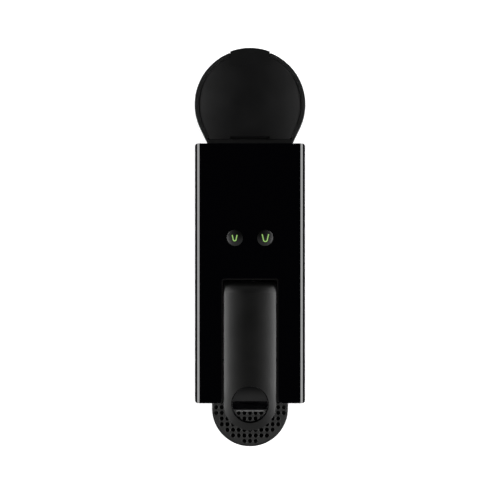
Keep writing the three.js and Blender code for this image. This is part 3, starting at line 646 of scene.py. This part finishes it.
def side_profile():
    nose, inner = 9 * MM, 8 * MM
    return [
        (FRONT, TOP + MM),
        *arc((FRONT + nose, HEAD + nose), nose, 180, 270, 20),
        *arc((COLUMN - inner, HEAD - inner), inner, 90, 0, 20),
        (COLUMN, FOOT),
        (REAR, FOOT),
        (REAR, TOP + MM),
    ]


def lever_slot():
    flare, deep = 1.6 * MM, 2 * MM
    right = [(SLOT_HALF + flare, FRONT - MM), *arc((SLOT_HALF + flare, FRONT + flare), flare, 270, 180, 8)]
    right += arc((SLOT_HALF - deep, SLOT_REAR - deep), deep, 0, 90, 8)
    return right + [(-x, y) for x, y in reversed(right)]


def outer_shell():
    plan = rounded_box(-HALF, HALF, FRONT, REAR, 2 * MM, 8)
    shell = common(
        prism("y", shell_section(), FRONT - MM, REAR + MM),
        prism("x", side_profile(), -HALF - MM, HALF + MM),
        prism("z", plan, 0, TOP + MM),
    )
    shell = cut(shell, prism("z", lever_slot(), TOP - PAST, TOP + PAST))
    for button in ("espresso_button", "lungo_button"):
        shell = cut(shell, bar("z", BUTTON_HOLE, TOP - PAST, TOP + PAST, middle_of(button), 72))
    soften(shell, 0.2 * MM, 2, angle=40)
    return dress(shell, "glossy_shell", shell_gloss, "outer_shell")


shell = outer_shell()
print("shell faces:", len(shell.data.polygons))

# %% [markdown]
# The trough under the lever has a flat floor whose front rolls gently downwards, which catches the
# light inside the lever's finger ring. Behind it is the window through which a capsule drops. One
# outline along its length cuts it from a block, because a bent sheet would not give the roll.

# %% Lever trough
def lever_bed():
    half, inner = 21.3 * MM, 20.4 * MM
    floor, under = 195.4 * MM, bed_low.z
    window_front, window_rear = -79 * MM, SLOT_REAR - 1.1 * MM
    roll, radius = 11 * MM, 30 * MM
    lip = bed_low.y
    last = 90 + math.degrees(math.asin(roll / radius))
    floor_line = arc((lip + roll, floor - radius), radius, 90, last, 12)
    walls = rounded_box(-half, half, lip, SLOT_REAR - 0.3 * MM, 1.7 * MM, 6)
    window = rounded_box(-inner, inner, window_front, window_rear, 1.2 * MM, 5)
    flange = block(-30 * MM, 30 * MM, -100 * MM, -3 * MM, 196.6 * MM, 198.8 * MM)
    body = join(prism("z", walls, under, bed_high.z - MM), flange)
    ahead, drop = lip - 5 * MM, floor_line[-1][1] - 2 * MM
    trough = [(0.05, 0.25), (0.05, floor), *floor_line, (ahead, drop), (ahead, 0.25)]
    hollow = common(
        prism("x", trough, -inner, inner),
        block(-inner, inner, lip - 4 * MM, window_rear, 0.19, 0.21),
    )
    body = cut(body, hollow, prism("z", window, under - MM, bed_high.z + MM))
    soften(body, 0.12 * MM, 2)
    return dress(body, "lever_trough", lid_satin, "lever_bed")


lever_bed()
print("trough made")

# %% [markdown]
# The front face is closed by a flat panel between the two sides, with the coffee outlet standing
# out of it: a small glossy hood with a flat top and a round nozzle below. It is the shape common to
# a plan and a side view, because a softened box would not keep the nose round in both.

# %% Front panel, head floor and coffee outlet
spout_low, spout_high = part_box("coffee_spout")
panel_low, panel_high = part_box("front_panel")
NOZZLE_Y, NOZZLE_BORE = -104 * MM, 3.4 * MM


def panel_outline():
    r = 3.2 * MM
    half, bottom, top = panel_high.x, panel_low.z, panel_high.z
    corners = arc((half - r, top - r), r, 0, 90, 8) + arc((-half + r, top - r), r, 90, 180, 8)
    return [(-half, bottom), (half, bottom), *corners]


def front_panel():
    gap = 0.3 * MM
    before, behind = -0.12, -0.09
    half = spout_high.x + gap
    panel = cut(
        prism("y", panel_outline(), panel_low.y, panel_high.y),
        block(-21.6 * MM, 21.6 * MM, before, behind, bed_low.z - gap, 0.21),
        prism("y", rounded_box(-half, half, 0.09, spout_high.z + gap, 1.5 * MM), before, behind),
    )
    soften(panel, 0.05 * MM, 1)
    return dress(panel, "front_face", shell_gloss, "front_panel")


def coffee_spout():
    half, nose, rear = spout_high.x, spout_low.y, spout_high.y
    low, high = spout_low.z + 1.5 * MM, spout_high.z
    plan = [(half, rear), (-half, rear), *arc((-half + 6 * MM, nose + 6 * MM), 6 * MM, 180, 270, 14)]
    plan += arc((half - 6 * MM, nose + 6 * MM), 6 * MM, 270, 360, 14)
    side = [(rear, low), (rear, high), *arc((nose + 2 * MM, high - 2 * MM), 2 * MM, 90, 180, 12)]
    side += arc((nose + 8 * MM, low + 8 * MM), 8 * MM, 180, 270, 10)
    hood = common(prism("z", plan, low, high), prism("x", side, -half, half))
    mouth, root = spout_low.z, low + 3 * MM
    ring = [(NOZZLE_BORE, mouth), (6.4 * MM, mouth), (7 * MM, low), (7 * MM, root), (NOZZLE_BORE, root)]
    hood = cut(hood, bar("z", 3.6 * MM, 0.1, low + 20 * MM, (0, NOZZLE_Y)))
    hood = join(hood, turned(ring, 0, NOZZLE_Y))
    soften(hood, 0.8 * MM, 4, angle=50)
    return dress(hood, "outlet_hood", shell_gloss, "coffee_spout")


front_panel()
coffee_spout()
refined("head_base", satin, 0.6 * MM)
print("front closed")

# %% [markdown]
# ## The lever
#
# The lever is a long strap with a gently crowned top, a ring for a finger at the front and a barrel
# round its pivot at the back. The crown is what draws two bright bands down its sides. A bevel would
# draw them as hard lines, so the side view is pushed from side to side in many narrow columns, each
# lowered a little more than the last, and then cut to the plan with its round end. A thin dark ring
# lines the finger hole: it is painted shade, a dark part that stands in for the shadow inside the hole.

# %% Lever
pivot_low, pivot_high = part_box("lever_pivot_left")
PIVOT_Y, PIVOT_Z = (pivot_low.y + pivot_high.y) / 2, (pivot_low.z + pivot_high.z) / 2
BARREL = lever_high.y - PIVOT_Y
RING_Y = lever_low.y + LEVER_HALF
RING_HOLE = 13.6 * MM
STRAP_UNDER = 196.5 * MM
# Width of the dark ring that is painted shade inside the finger hole.
SHADE_RING_WIDTH = 0.5 * MM
CROWN_POWER = 2.1
BELOW, ABOVE = 180 * MM, 210 * MM


def crown_drop(x):
    """How far the lever's top lies below its middle line at a distance x to the side."""
    return 3.6 * MM * (abs(x) / LEVER_HALF) ** CROWN_POWER


def strap_profile():
    sweep = BARREL + 0.9 * MM
    start = math.degrees(math.asin((STRAP_UNDER - PIVOT_Z) / sweep))
    end = math.degrees(math.asin(BARREL / sweep))
    dip = [(-(80 + 46 * t) * MM, lever_high.z - 3.6 * MM * t * t) for t in (i / 24 for i in range(25))]
    under = [(lever_low.y - 2 * MM, STRAP_UNDER), (PIVOT_Y, STRAP_UNDER)]
    return under + arc((PIVOT_Y, PIVOT_Z), sweep, start, end, 24) + dip


def crowned(profile, half, base, drop, columns=56):
    """The profile pushed from side to side, its top lowered towards the sides by a crown."""
    shape = bmesh.new()
    top = max(z for y, z in profile)
    rings = []
    for column in range(columns + 1):
        x = half * (2 * column / columns - 1)
        rings.append([shape.verts.new((x, y, z - drop(x) * (z - base) / (top - base))) for y, z in profile])
    for near, far in zip(rings, rings[1:]):
        sides(shape, near, far)
    shape.faces.new(rings[0])
    shape.faces.new(list(reversed(rings[-1])))
    return solid(shape)


def lever():
    half = LEVER_HALF + 0.5 * MM
    strap = common(
        crowned(strap_profile(), half, STRAP_UNDER, crown_drop),
        prism("z", d_outline(LEVER_HALF, RING_Y, 0, 96), BELOW, ABOVE),
    )
    strap = cut(strap, bar("z", RING_HOLE + SHADE_RING_WIDTH, BELOW, ABOVE, (0, RING_Y), 96))
    soften(strap, 0.35 * MM, 3, angle=40)
    barrel = common(
        bar("x", BARREL - 0.6 * MM, -18.6 * MM, 18.6 * MM, (PIVOT_Y, PIVOT_Z), 96),
        block(-0.03, 0.03, -0.06, 0, 0.15, STRAP_UNDER + MM),
    )
    barrel = cut(barrel, bar("x", 3.4 * MM, -0.03, 0.03, (PIVOT_Y, PIVOT_Z)))
    soften(barrel, 0.4 * MM, 2)
    dress(barrel, "lever_barrel", lever_satin, "lever_arm")
    return dress(strap, "lever_strap", lever_satin, "lever_arm")


# Painted shade: a glossy black ring stands in for the shadow round the rim of the finger hole.
def finger_hole_shade_ring():
    """A thin dark ring that lines the finger hole and stands a hair below the strap, as painted shade for
    the shadow inside the hole.
    """
    inner, outer = RING_HOLE - 0.3 * MM, RING_HOLE + SHADE_RING_WIDTH
    low, high = STRAP_UNDER + 0.2 * MM, lever_high.z - 4.2 * MM
    hole_shade_ring = turned([(inner, low), (outer, low), (outer, high), (inner, high)], 0, RING_Y, 96)
    soften(hole_shade_ring, 0.25 * MM, 2)
    return dress(hole_shade_ring, "lever_finger_hole_shade_ring", shell_gloss, "lever_arm")


lever_strap = lever()
finger_hole_shade_ring()
for side in ("left", "right"):
    refined("lever_cheek_" + side, steel, 0.2 * MM)
    refined("lever_pivot_" + side, steel, 0.3 * MM)
print("lever faces:", len(lever_strap.data.polygons))

# %% [markdown]
# ## Buttons
#
# Each button is a satin cap in a round hole. Its top is a shallow dome whose highest point sits
# towards the middle and the rear of the machine, so the outer edge falls away and catches the side
# light. A deeper dome would sink that edge into shadow, so a swell in the finish does the rest. The
# lit sign is a light guide in the shape of a cup, let into the cap: small or tall, as the coffee is.

# %% Button caps and lit cups
LEAN, BEND = 2.5 * MM, 42 * MM
CAP_TOP, CAP_FOOT, CAP_RADIUS = 201.9 * MM, 190.4 * MM, 6.06 * MM
SIGN_TOP, SIGN_DEPTH, SIGN_GAP = 200 * MM, 0.15 * MM, 0.3 * MM


def cup_sign(width, height, stroke, x, y, steps=20):
    half, t = width / 2 - stroke / 2, stroke / 2
    foot = half * 0.62
    low = y - height / 2 + foot + t
    outside = arc((x, low), foot + t, 180, 360, steps)
    inside = arc((x, low), foot - t, 360, 180, steps)
    top = y + height / 2
    left, right = (x - half - t, top), (x + half + t, top)
    return [left, *outside, right, (x + half - t, top), *inside, (x - half + t, top)]


def below_peak(point, peak):
    """How far a dome has fallen at a point, from its peak."""
    a, b = point.x - peak[0], point.y - peak[1]
    return (a * a + b * b) / (2 * BEND)


def dome_cap(x, y, radius, peak, steps=64):
    """A round cap with its dome's peak at peak, as a grid of rings."""
    shape = bmesh.new()
    middle = shape.verts.new((x, y, 0))
    rings = []
    for share in [0.12 * i for i in range(1, 9)] + [1.0]:
        ring = arc((x, y), radius * share, 0, 360, steps)[:-1]
        rings.append([shape.verts.new((a, b, 0)) for a, b in ring])
    for vertex in shape.verts:
        vertex.co.z = CAP_TOP - below_peak(vertex.co, peak)
    rings.append([shape.verts.new((v.co.x, v.co.y, CAP_FOOT)) for v in rings[-1]])
    for i in range(steps):
        j = (i + 1) % steps
        shape.faces.new((middle, rings[0][i], rings[0][j]))
        for inner, outer in zip(rings, rings[1:]):
            shape.faces.new((inner[i], outer[i], outer[j], inner[j]))
    shape.faces.new(list(reversed(rings[-1])))
    return solid(shape)


def lit_sign(name, colour, strength):
    finish = Finish(name, Roughness=0.3, Emission_Strength=strength)
    glow = finish.noise(0.0012, detail=2)
    lit = finish.blend(glow, [c * 0.8 for c in colour], colour)
    unlit = finish.blend(glow, [c * 0.04 for c in colour], [c * 0.06 for c in colour])
    return finish.feed(Base_Color=unlit, Emission_Color=lit)


def cap_swell(finish, radius=0.044, lean=5 * MM):
    """A dome on each button, its peak towards the middle and the rear of the machine."""
    x, y = middle_of("lungo_button")
    aside = finish.along("X").magnitude() - (x - lean)
    back = finish.along("Y") - (y + lean)
    return (aside * aside + back * back) / (-2 * radius)


def button(name, toward):
    """The cap and its lit sign; toward is 1 or -1, the side of X that the middle lies on."""
    sign_low, sign_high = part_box(name + "_icon")
    x, y = middle_of(name + "_button")
    peak = (x + toward * LEAN, y + LEAN)
    width, height = sign_high.x - sign_low.x, sign_high.y - sign_low.y
    pocket = cup_sign(width + SIGN_GAP, height + SIGN_GAP, 0.95 * MM, x, y)
    cap = cut(dome_cap(x, y, CAP_RADIUS, peak), prism("z", pocket, SIGN_TOP - 0.6 * MM, ABOVE))
    soften(cap, 0.18 * MM, 2, angle=50)
    dress(cap, name + "_cap", cap_satin, name + "_button")
    sign = prism("z", cup_sign(width, height, 0.78 * MM, x, y), sign_low.z, SIGN_TOP)
    soften(sign, 0.1 * MM, 2)
    for vertex in sign.data.vertices:
        if vertex.co.z > SIGN_TOP - 0.3 * MM:
            vertex.co.z += CAP_TOP - below_peak(vertex.co, peak) - SIGN_TOP - SIGN_DEPTH
    dress(sign, name + "_sign", sign_glow, name + "_icon")


cap_satin = satin_plastic("button_satin", (0.0008, 0.0008, 0.0008), 0.26, 0.3, 0.004, cap_swell)
sign_glow = lit_sign("cup_sign_glow", (0.33, 0.60, 0.16), 1.0)
button("espresso", 1)
button("lungo", -1)
print("buttons made")

# %% [markdown]
# ## The water tank and its lid
#
# From above the tank is a circle whose sides run in, straight, to the machine's back. One function
# gives that outline at any inset, so the wall, rim, groove and lid all stay parallel, which scaling
# one outline would not do.

# %% Tank outline
lid_low, lid_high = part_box("tank_lid")
TANK_R = tank_high.x
TANK_Y = tank_high.y - TANK_R
TANK_FRONT = tank_low.y
TANK_DEPTH, FRONT_HALF = TANK_Y - TANK_FRONT, 32.3 * MM
TAPER = math.atan2(TANK_DEPTH, FRONT_HALF) - math.acos(TANK_R / math.hypot(FRONT_HALF, TANK_DEPTH))
LID_GAP = 3.2 * MM


def tank_outline(inset, steps=96):
    radius, front = TANK_R - inset, TANK_FRONT + inset
    half = (radius + (front - TANK_Y) * math.sin(TAPER)) / math.cos(TAPER)
    taper = math.degrees(TAPER)
    return [(-half, front), (half, front), *arc((0, TANK_Y), radius, -taper, 180 + taper, steps)]


# %% [markdown]
# The tank is a deep tub with a thicker rim, a ledge that the lid lies on, two notches for the lid's
# hinge and tab, and a spout below for the valve. It is hollow, because a clear solid would bend
# light like a lens.

# %% Tank
SPOUT_Y = 112 * MM


def water_tank():
    low, rim = tank_low.z, tank_high.z
    foot = low + 7.3 * MM
    ledge = lid_low.z - 0.3 * MM
    outside = join(
        prism("z", tank_outline(0.7 * MM), foot, rim - 8 * MM),
        prism("z", tank_outline(0), rim - 8.4 * MM, rim),
        bar("z", 7 * MM, low, foot + MM, (0, SPOUT_Y)),
    )
    tank = cut(
        outside,
        prism("z", tank_outline(3.0 * MM), foot + 2.5 * MM, rim - 7 * MM),
        prism("z", tank_outline(4.6 * MM), rim - 13 * MM, rim + MM),
        prism("z", tank_outline(2.9 * MM), ledge, rim + MM),
        bar("z", 4.5 * MM, 0, foot + 10 * MM, (0, SPOUT_Y)),
        block(-15.4 * MM, 15.4 * MM, 0.15, 0.17, ledge, rim + MM),
        block(-32.1 * MM, 32.1 * MM, 95.5 * MM, 99.4 * MM, ledge, rim + MM),
    )
    soften(tank, 0.5 * MM, 3, angle=40)
    return dress(tank, "smoky_water_tank", smoke, "water_tank")


# %% [markdown]
# The lid lies inside the rim. It is a slab crowned from side to side like the lever, cut to the
# tank's outline, because a dome built from rings of it would show creases. A flat tab at the back
# is for a finger, and a thin bar at the front is the hinge.

# %% Lid
def lid_drop(x):
    """How far the lid's top lies below its middle line, as on the lever."""
    return 1.5 * MM * (abs(x) / (TANK_R - LID_GAP)) ** CROWN_POWER


def tank_lid():
    low, top = lid_low.z, lid_high.z
    hinge_y, hinge_z = TANK_FRONT + 4.8 * MM, (top + low) / 2
    tab_half = 15 * MM
    front, rear = TANK_FRONT, TANK_Y + TANK_R
    slab = crowned([(front, low), (rear, low), (rear, top), (front, top)], TANK_R, low, lid_drop, 28)
    disc = common(slab, prism("z", tank_outline(LID_GAP), low - MM, top + MM))
    disc = cut(disc, block(-0.05, 0.05, 0.08, hinge_y, low - MM, hinge_z))
    tab = common(
        prism("z", arc((0, TANK_Y), lid_high.y - TANK_Y, 0, 360, 160)[:-1], low, top),
        block(-tab_half, tab_half, 0.1515, 0.17, low - MM, top + MM),
    )
    lid = join(disc, tab, bar("x", 0.6 * MM, -33 * MM, 33 * MM, (hinge_y, hinge_z), 24))
    recess = rounded_box(-tab_half, tab_half, hinge_y - 2 * MM, hinge_y + 0.6 * MM, 0.4 * MM, 4)
    lid = cut(lid, prism("z", recess, hinge_z, top + MM))
    soften(lid, 0.3 * MM, 3, angle=40)
    return dress(lid, "tank_lid_disc", crown_satin, "tank_lid")


water_tank()
tank_lid()
refined("tank_valve", inner_satin, 0.4 * MM)
refined("tank_seat", satin, 0.6 * MM)
refined("tank_probe", inner_satin, 0.3 * MM)
refined("tank_seal", silicone, 0.3 * MM)
refined("cord_gland", rubber, 0.8 * MM)
print(f"tank radius {TANK_R / MM:.2f} mm, centre at {TANK_Y / MM:.1f} mm")

# %% [markdown]
# ## The tray in front
#
# A cup stands on a perforated grid let into a D-shaped support, which stands on the drip tray; the
# capsule bin is the tall box behind them. The grid is one flat curve with a hole spline for each
# hole, turned into a mesh: a curve fills its holes and rounds both their rims by itself, where a
# Boolean would need a cutter for each hole.

# %% Flat sheets with holes
def sheet_with_holes(outline, holes, low, high, rim):
    """A flat sheet with a rounded edge and holes, from closed outlines."""
    curve = bpy.data.curves.new("sheet", "CURVE")
    curve.dimensions = "2D"
    curve.fill_mode = "BOTH"
    curve.extrude = (high - low) / 2 - rim
    curve.bevel_depth = rim
    curve.bevel_resolution = 2
    curve.offset = -rim
    for points in [outline, *holes]:
        spline = curve.splines.new("POLY")
        spline.points.add(len(points) - 1)
        for point, (x, y) in zip(spline.points, points):
            point.co = (x, y, 0, 1)
        spline.use_cyclic_u = True
    made = bpy.data.objects.new("sheet", curve)
    bpy.context.scene.collection.objects.link(made)
    mesh = bpy.data.meshes.new_from_object(made.evaluated_get(bpy.context.evaluated_depsgraph_get()))
    bpy.data.objects.remove(made)
    bpy.data.curves.remove(curve)
    for vertex in mesh.vertices:
        vertex.co.z += (low + high) / 2
    return new_piece(mesh)


grid_low, grid_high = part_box("drip_grid")
stand_low, stand_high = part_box("cup_support")
tray_low, tray_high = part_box("drip_tray")
STAND_HALF = stand_high.x
STAND_ROUND = stand_low.y + STAND_HALF
PITCH = 5 * MM
GRID_HOLE = 1.95 * MM


def grid_holes():
    """Square lattice of holes, left out where they would cut the round edge."""
    holes = []
    for row in range(16):
        y = STAND_ROUND - 29 * MM + row * PITCH
        for column in range(-6, 7):
            x = column * PITCH
            if y < STAND_ROUND + 2 * MM and math.hypot(x, y - STAND_ROUND) > 6.07 * PITCH:
                continue
            if y < grid_high.y - 3 * MM:
                holes.append(arc((x, y), GRID_HOLE, 360, 0, 20)[:-1])
    return holes


def drip_grid():
    outline = d_outline(grid_high.x, STAND_ROUND, grid_high.y, 128, corner=1.5 * MM)
    sheet = sheet_with_holes(outline, grid_holes(), grid_low.z, grid_high.z, 0.28 * MM)
    shaded(sheet, 50, 50)
    return dress(sheet, "perforated_grid", grid_satin, "drip_grid")


def cup_support():
    rear, top = stand_high.y, stand_high.z

    def plan(inset):
        return d_outline(STAND_HALF - inset, STAND_ROUND, rear - inset, 128)

    support = cut(
        prism("z", plan(0), stand_low.z, top),
        prism("z", plan(2 * MM), 0, top - 4 * MM),
        prism("z", plan(3.6 * MM), 0, top + MM),
        prism("z", plan(0.8 * MM), top - 2.4 * MM, top + MM),
    )
    soften(support, 0.15 * MM, 2)
    return dress(support, "cup_stand_ring", satin, "cup_support")


def drip_tray():
    half, rear = tray_high.x, tray_high.y
    wall, low, top = 1.8 * MM, tray_low.z, tray_high.z
    back = -66 * MM
    tray = cut(
        prism("z", d_outline(half, STAND_ROUND, rear, 96), low, top),
        prism("z", d_outline(half - wall, STAND_ROUND, back, 96), low + wall, top + MM),
        block(-half + wall, half - wall, back - 0.001 * MM, rear - wall, low + wall, top + MM),
    )
    soften(tray, 0.6 * MM, 4)
    return dress(tray, "drip_tray_bowl", satin, "drip_tray")


print("grid holes:", len(grid_holes()))
drip_grid()
cup_support()
drip_tray()
refined("capsule_bin", satin, 0.7 * MM, 3)

# %% [markdown]
# ## Base, feet and what is inside
#
# The base plate runs under everything, from the tray's tongue to the tank. The rest is seen only
# when something is opened or pulled out, and the frame already has its shape, so each part gets its
# edges rounded and its real finish.

# %% Base and the inner parts
def base_plate():
    low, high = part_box("base_plate")
    tongue, deck, screw_x, screw_y = 34.6 * MM, 8 * MM, 28 * MM, 4.5 * MM
    plate = join(
        prism("z", rounded_box(low.x, high.x, -63.5 * MM, 91.5 * MM, 2 * MM), low.z, deck),
        prism("z", d_outline(tongue, low.y + tongue, -60 * MM, 96), low.z, deck),
        prism("z", tank_outline(1.5 * MM), low.z, deck),
        block(-30 * MM, 30 * MM, 90 * MM, 100 * MM, low.z, deck),
        block(-38.4 * MM, -37 * MM, -60 * MM, 88 * MM, 7 * MM, 13 * MM),
        block(37 * MM, 38.4 * MM, -60 * MM, 88 * MM, 7 * MM, 13 * MM),
    )
    vents = [block(-10 * MM, 10 * MM, y * MM, (y + 2) * MM, 0, 20 * MM) for y in range(20, 50, 5)]
    wells = [bar("z", 3.6 * MM, 0, 5 * MM, (x, screw_y), 32) for x in (-screw_x, screw_x)]
    bores = [bar("z", 1.9 * MM, 0, 20 * MM, (x, screw_y), 24) for x in (-screw_x, screw_x)]
    plate = cut(plate, *vents, *wells, *bores)
    soften(plate, 0.5 * MM, 2)
    return dress(plate, "base_tray", satin, "base_plate")


def foot(node):
    low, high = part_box(node)
    r, groove = (high.x - low.x) / 2, low.z + 0.5 * MM
    profile = [(0, low.z), (r * 0.62, low.z), (r * 0.66, groove), (r * 0.74, groove), (r * 0.78, low.z)]
    profile += [(r * 0.9, low.z), (r, low.z + 0.7 * MM), (r, high.z), (0, high.z)]
    pad = turned(profile, *middle_of(node), 48)
    soften(pad, 0.15 * MM, 2)
    return dress(pad, node + "_pad", rubber, node)


def screw(node):
    low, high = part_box(node)
    (x, y), r = middle_of(node), (high.x - low.x) / 2
    shank, under_head, bed = 1.5 * MM, low.z + 1.5 * MM, low.z + 0.9 * MM
    profile = [(0, low.z), (r * 0.8, low.z), (r, low.z + 0.5 * MM), (r, under_head)]
    profile += [(shank, under_head), (shank, high.z), (0, high.z)]
    long, wide = 1.9 * MM, 0.4 * MM
    cross = [block(x - a, x + a, y - b, y + b, 0, bed) for a, b in ((long, wide), (wide, long))]
    head = cut(turned(profile, x, y, 40), *cross)
    soften(head, 0.1 * MM, 2)
    return dress(head, node + "_cross", steel, node)


base_plate()
for end in ("front", "rear"):
    for side in ("left", "right"):
        foot(f"foot_{end}_{side}")
for side in ("left", "right"):
    screw("base_screw_" + side)

FINISHES = {
    satin: ["rear_panel", "bay_liner"],
    inner_satin: ["brew_frame", "capsule_chute", "capsule_cage", "pump_head", "flow_meter_body",
                  "flow_meter_lid"],
    steel: ["extraction_plate", "injection_plate", "cage_guide_left", "cage_guide_right",
            "espresso_spring", "lungo_spring", "pump_plunger", "thermostat"],
    silicone: ["cage_seal", "hose_inlet", "hose_pump_feed", "hose_boiler_feed", "flow_meter_rotor"],
    rubber: ["pump_mount_lower", "pump_mount_upper"],
    cast: ["thermoblock"],
    board: ["control_board", "power_board"],
    coil: ["pump_body"],
}
THIN = {"espresso_spring", "lungo_spring", "cage_seal", "injection_plate",
        "hose_inlet", "hose_pump_feed", "hose_boiler_feed"}
for finish, nodes in FINISHES.items():
    for node in nodes:
        refined(node, finish, 0 if node in THIN else 0.35 * MM)
print("inner parts:", sum(map(len, FINISHES.values())))

# %% [markdown]
# The brew hose crosses from the fixed boiler to the moving capsule carriage, so on the machine it
# bends as the lever is raised. Riding on one of them, it would come off the other, so here it is
# attached to neither body and keeps its resting shape.

# %% Brew hose
hose = copied("hose_brew")
soften(hose, 0)
paint(hose, "brew_hose_silicone", silicone)
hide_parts("hose_brew")
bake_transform(hose)

# %% [markdown]
# ## Studio
#
# A glossy black object is drawn by what it reflects. Two long soft boxes stand to the left and
# right and give the casing's sloping edges their bright stripes and the lever its two bands. The
# space straight above stays dark, so the flat top stays black. The surroundings are pale near the
# horizon and in front, which lifts the ring and the grid more evenly than a third box would. The
# floor is a plain pale sheet that glows a little, so it stays white right up to the machine.

# %% Floor, lights and surroundings
def soft_box(name, place, target, size, power):
    light = bpy.data.lights.new(name, "AREA")
    light.shape = "RECTANGLE"
    light.size, light.size_y = size
    light.energy = power
    lamp = bpy.data.objects.new(name, light)
    bpy.context.scene.collection.objects.link(lamp)
    lamp.location = place
    lamp.rotation_euler = (Vector(target) - Vector(place)).to_track_quat("-Z", "Y").to_euler()


def pale_floor():
    glow = {"Emission_Color": (1, 1, 1), "Emission_Strength": 0.35}
    finish = Finish("pale_floor", Specular_IOR_Level=0.2, **glow)
    grain = finish.noise(0.05, detail=3)
    paper = finish.blend(grain, (0.86, 0.86, 0.86), (0.88, 0.88, 0.88))
    finish.feed(Base_Color=paper, Roughness=0.8 + grain * 0.1)
    floor = prism("z", arc((0, 0), 6, 0, 360, 96)[:-1], -0.01, 0)
    floor.name = "floor"
    floor.data.materials.append(finish.material)


class Surroundings(Network):
    """Light from everywhere: pale all round and in front, under a dark ceiling."""

    def __init__(self, name, sides, front, horizon):
        bpy.context.scene.world = bpy.data.worlds.new(name)
        super().__init__(bpy.context.scene.world, "Background")
        point = self.node("ShaderNodeTexCoord", out="Generated")
        axes = [self.node("ShaderNodeSeparateXYZ", sockets={0: point}, out=i) for i in range(3)]
        across, along, up = axes
        aside = across.magnitude().above(0.55, 0.8)
        ahead = (0 - along).above(0.36, 0.3)
        level = aside * sides + ahead * front + (1 - up.above(0.25, 0.4)) * horizon
        grey = self.node("ShaderNodeValToRGB", {"stops": [(0, 0), (1, 1)]}, {"Fac": level})
        self.feed(Color=grey)


BOX_SIZE, BOX_OUT, BOX_UP = (2.6, 0.5), 1.15, 0.75
MACHINE_MIDDLE = (0, 0, 0.1)
pale_floor()
Surroundings("studio", sides=0.3, front=0.45, horizon=0.3)
soft_box("left_box", (-BOX_OUT, 0, BOX_UP), MACHINE_MIDDLE, BOX_SIZE, 29)
soft_box("right_box", (BOX_OUT, 0, BOX_UP), MACHINE_MIDDLE, BOX_SIZE, 31)
view = bpy.context.scene.view_settings
view.view_transform = "Standard"
view.look = "None"
view.exposure = 0

# %% [markdown]
# ## Camera
#
# The camera looks straight down from a little over a metre, with a long lens, so the top shows in
# plan and the tray, which is lower, only slightly smaller than it is.

# %% Camera
camera_data = bpy.data.cameras.new("camera")
camera_data.sensor_width = 36
camera_data.lens = 81.85
camera = bpy.data.objects.new("camera", camera_data)
camera.location = (0, 12 * MM, 1.054)
camera.rotation_euler = (0, 0, 0)
bpy.context.scene.collection.objects.link(camera)
bpy.context.scene.camera = camera
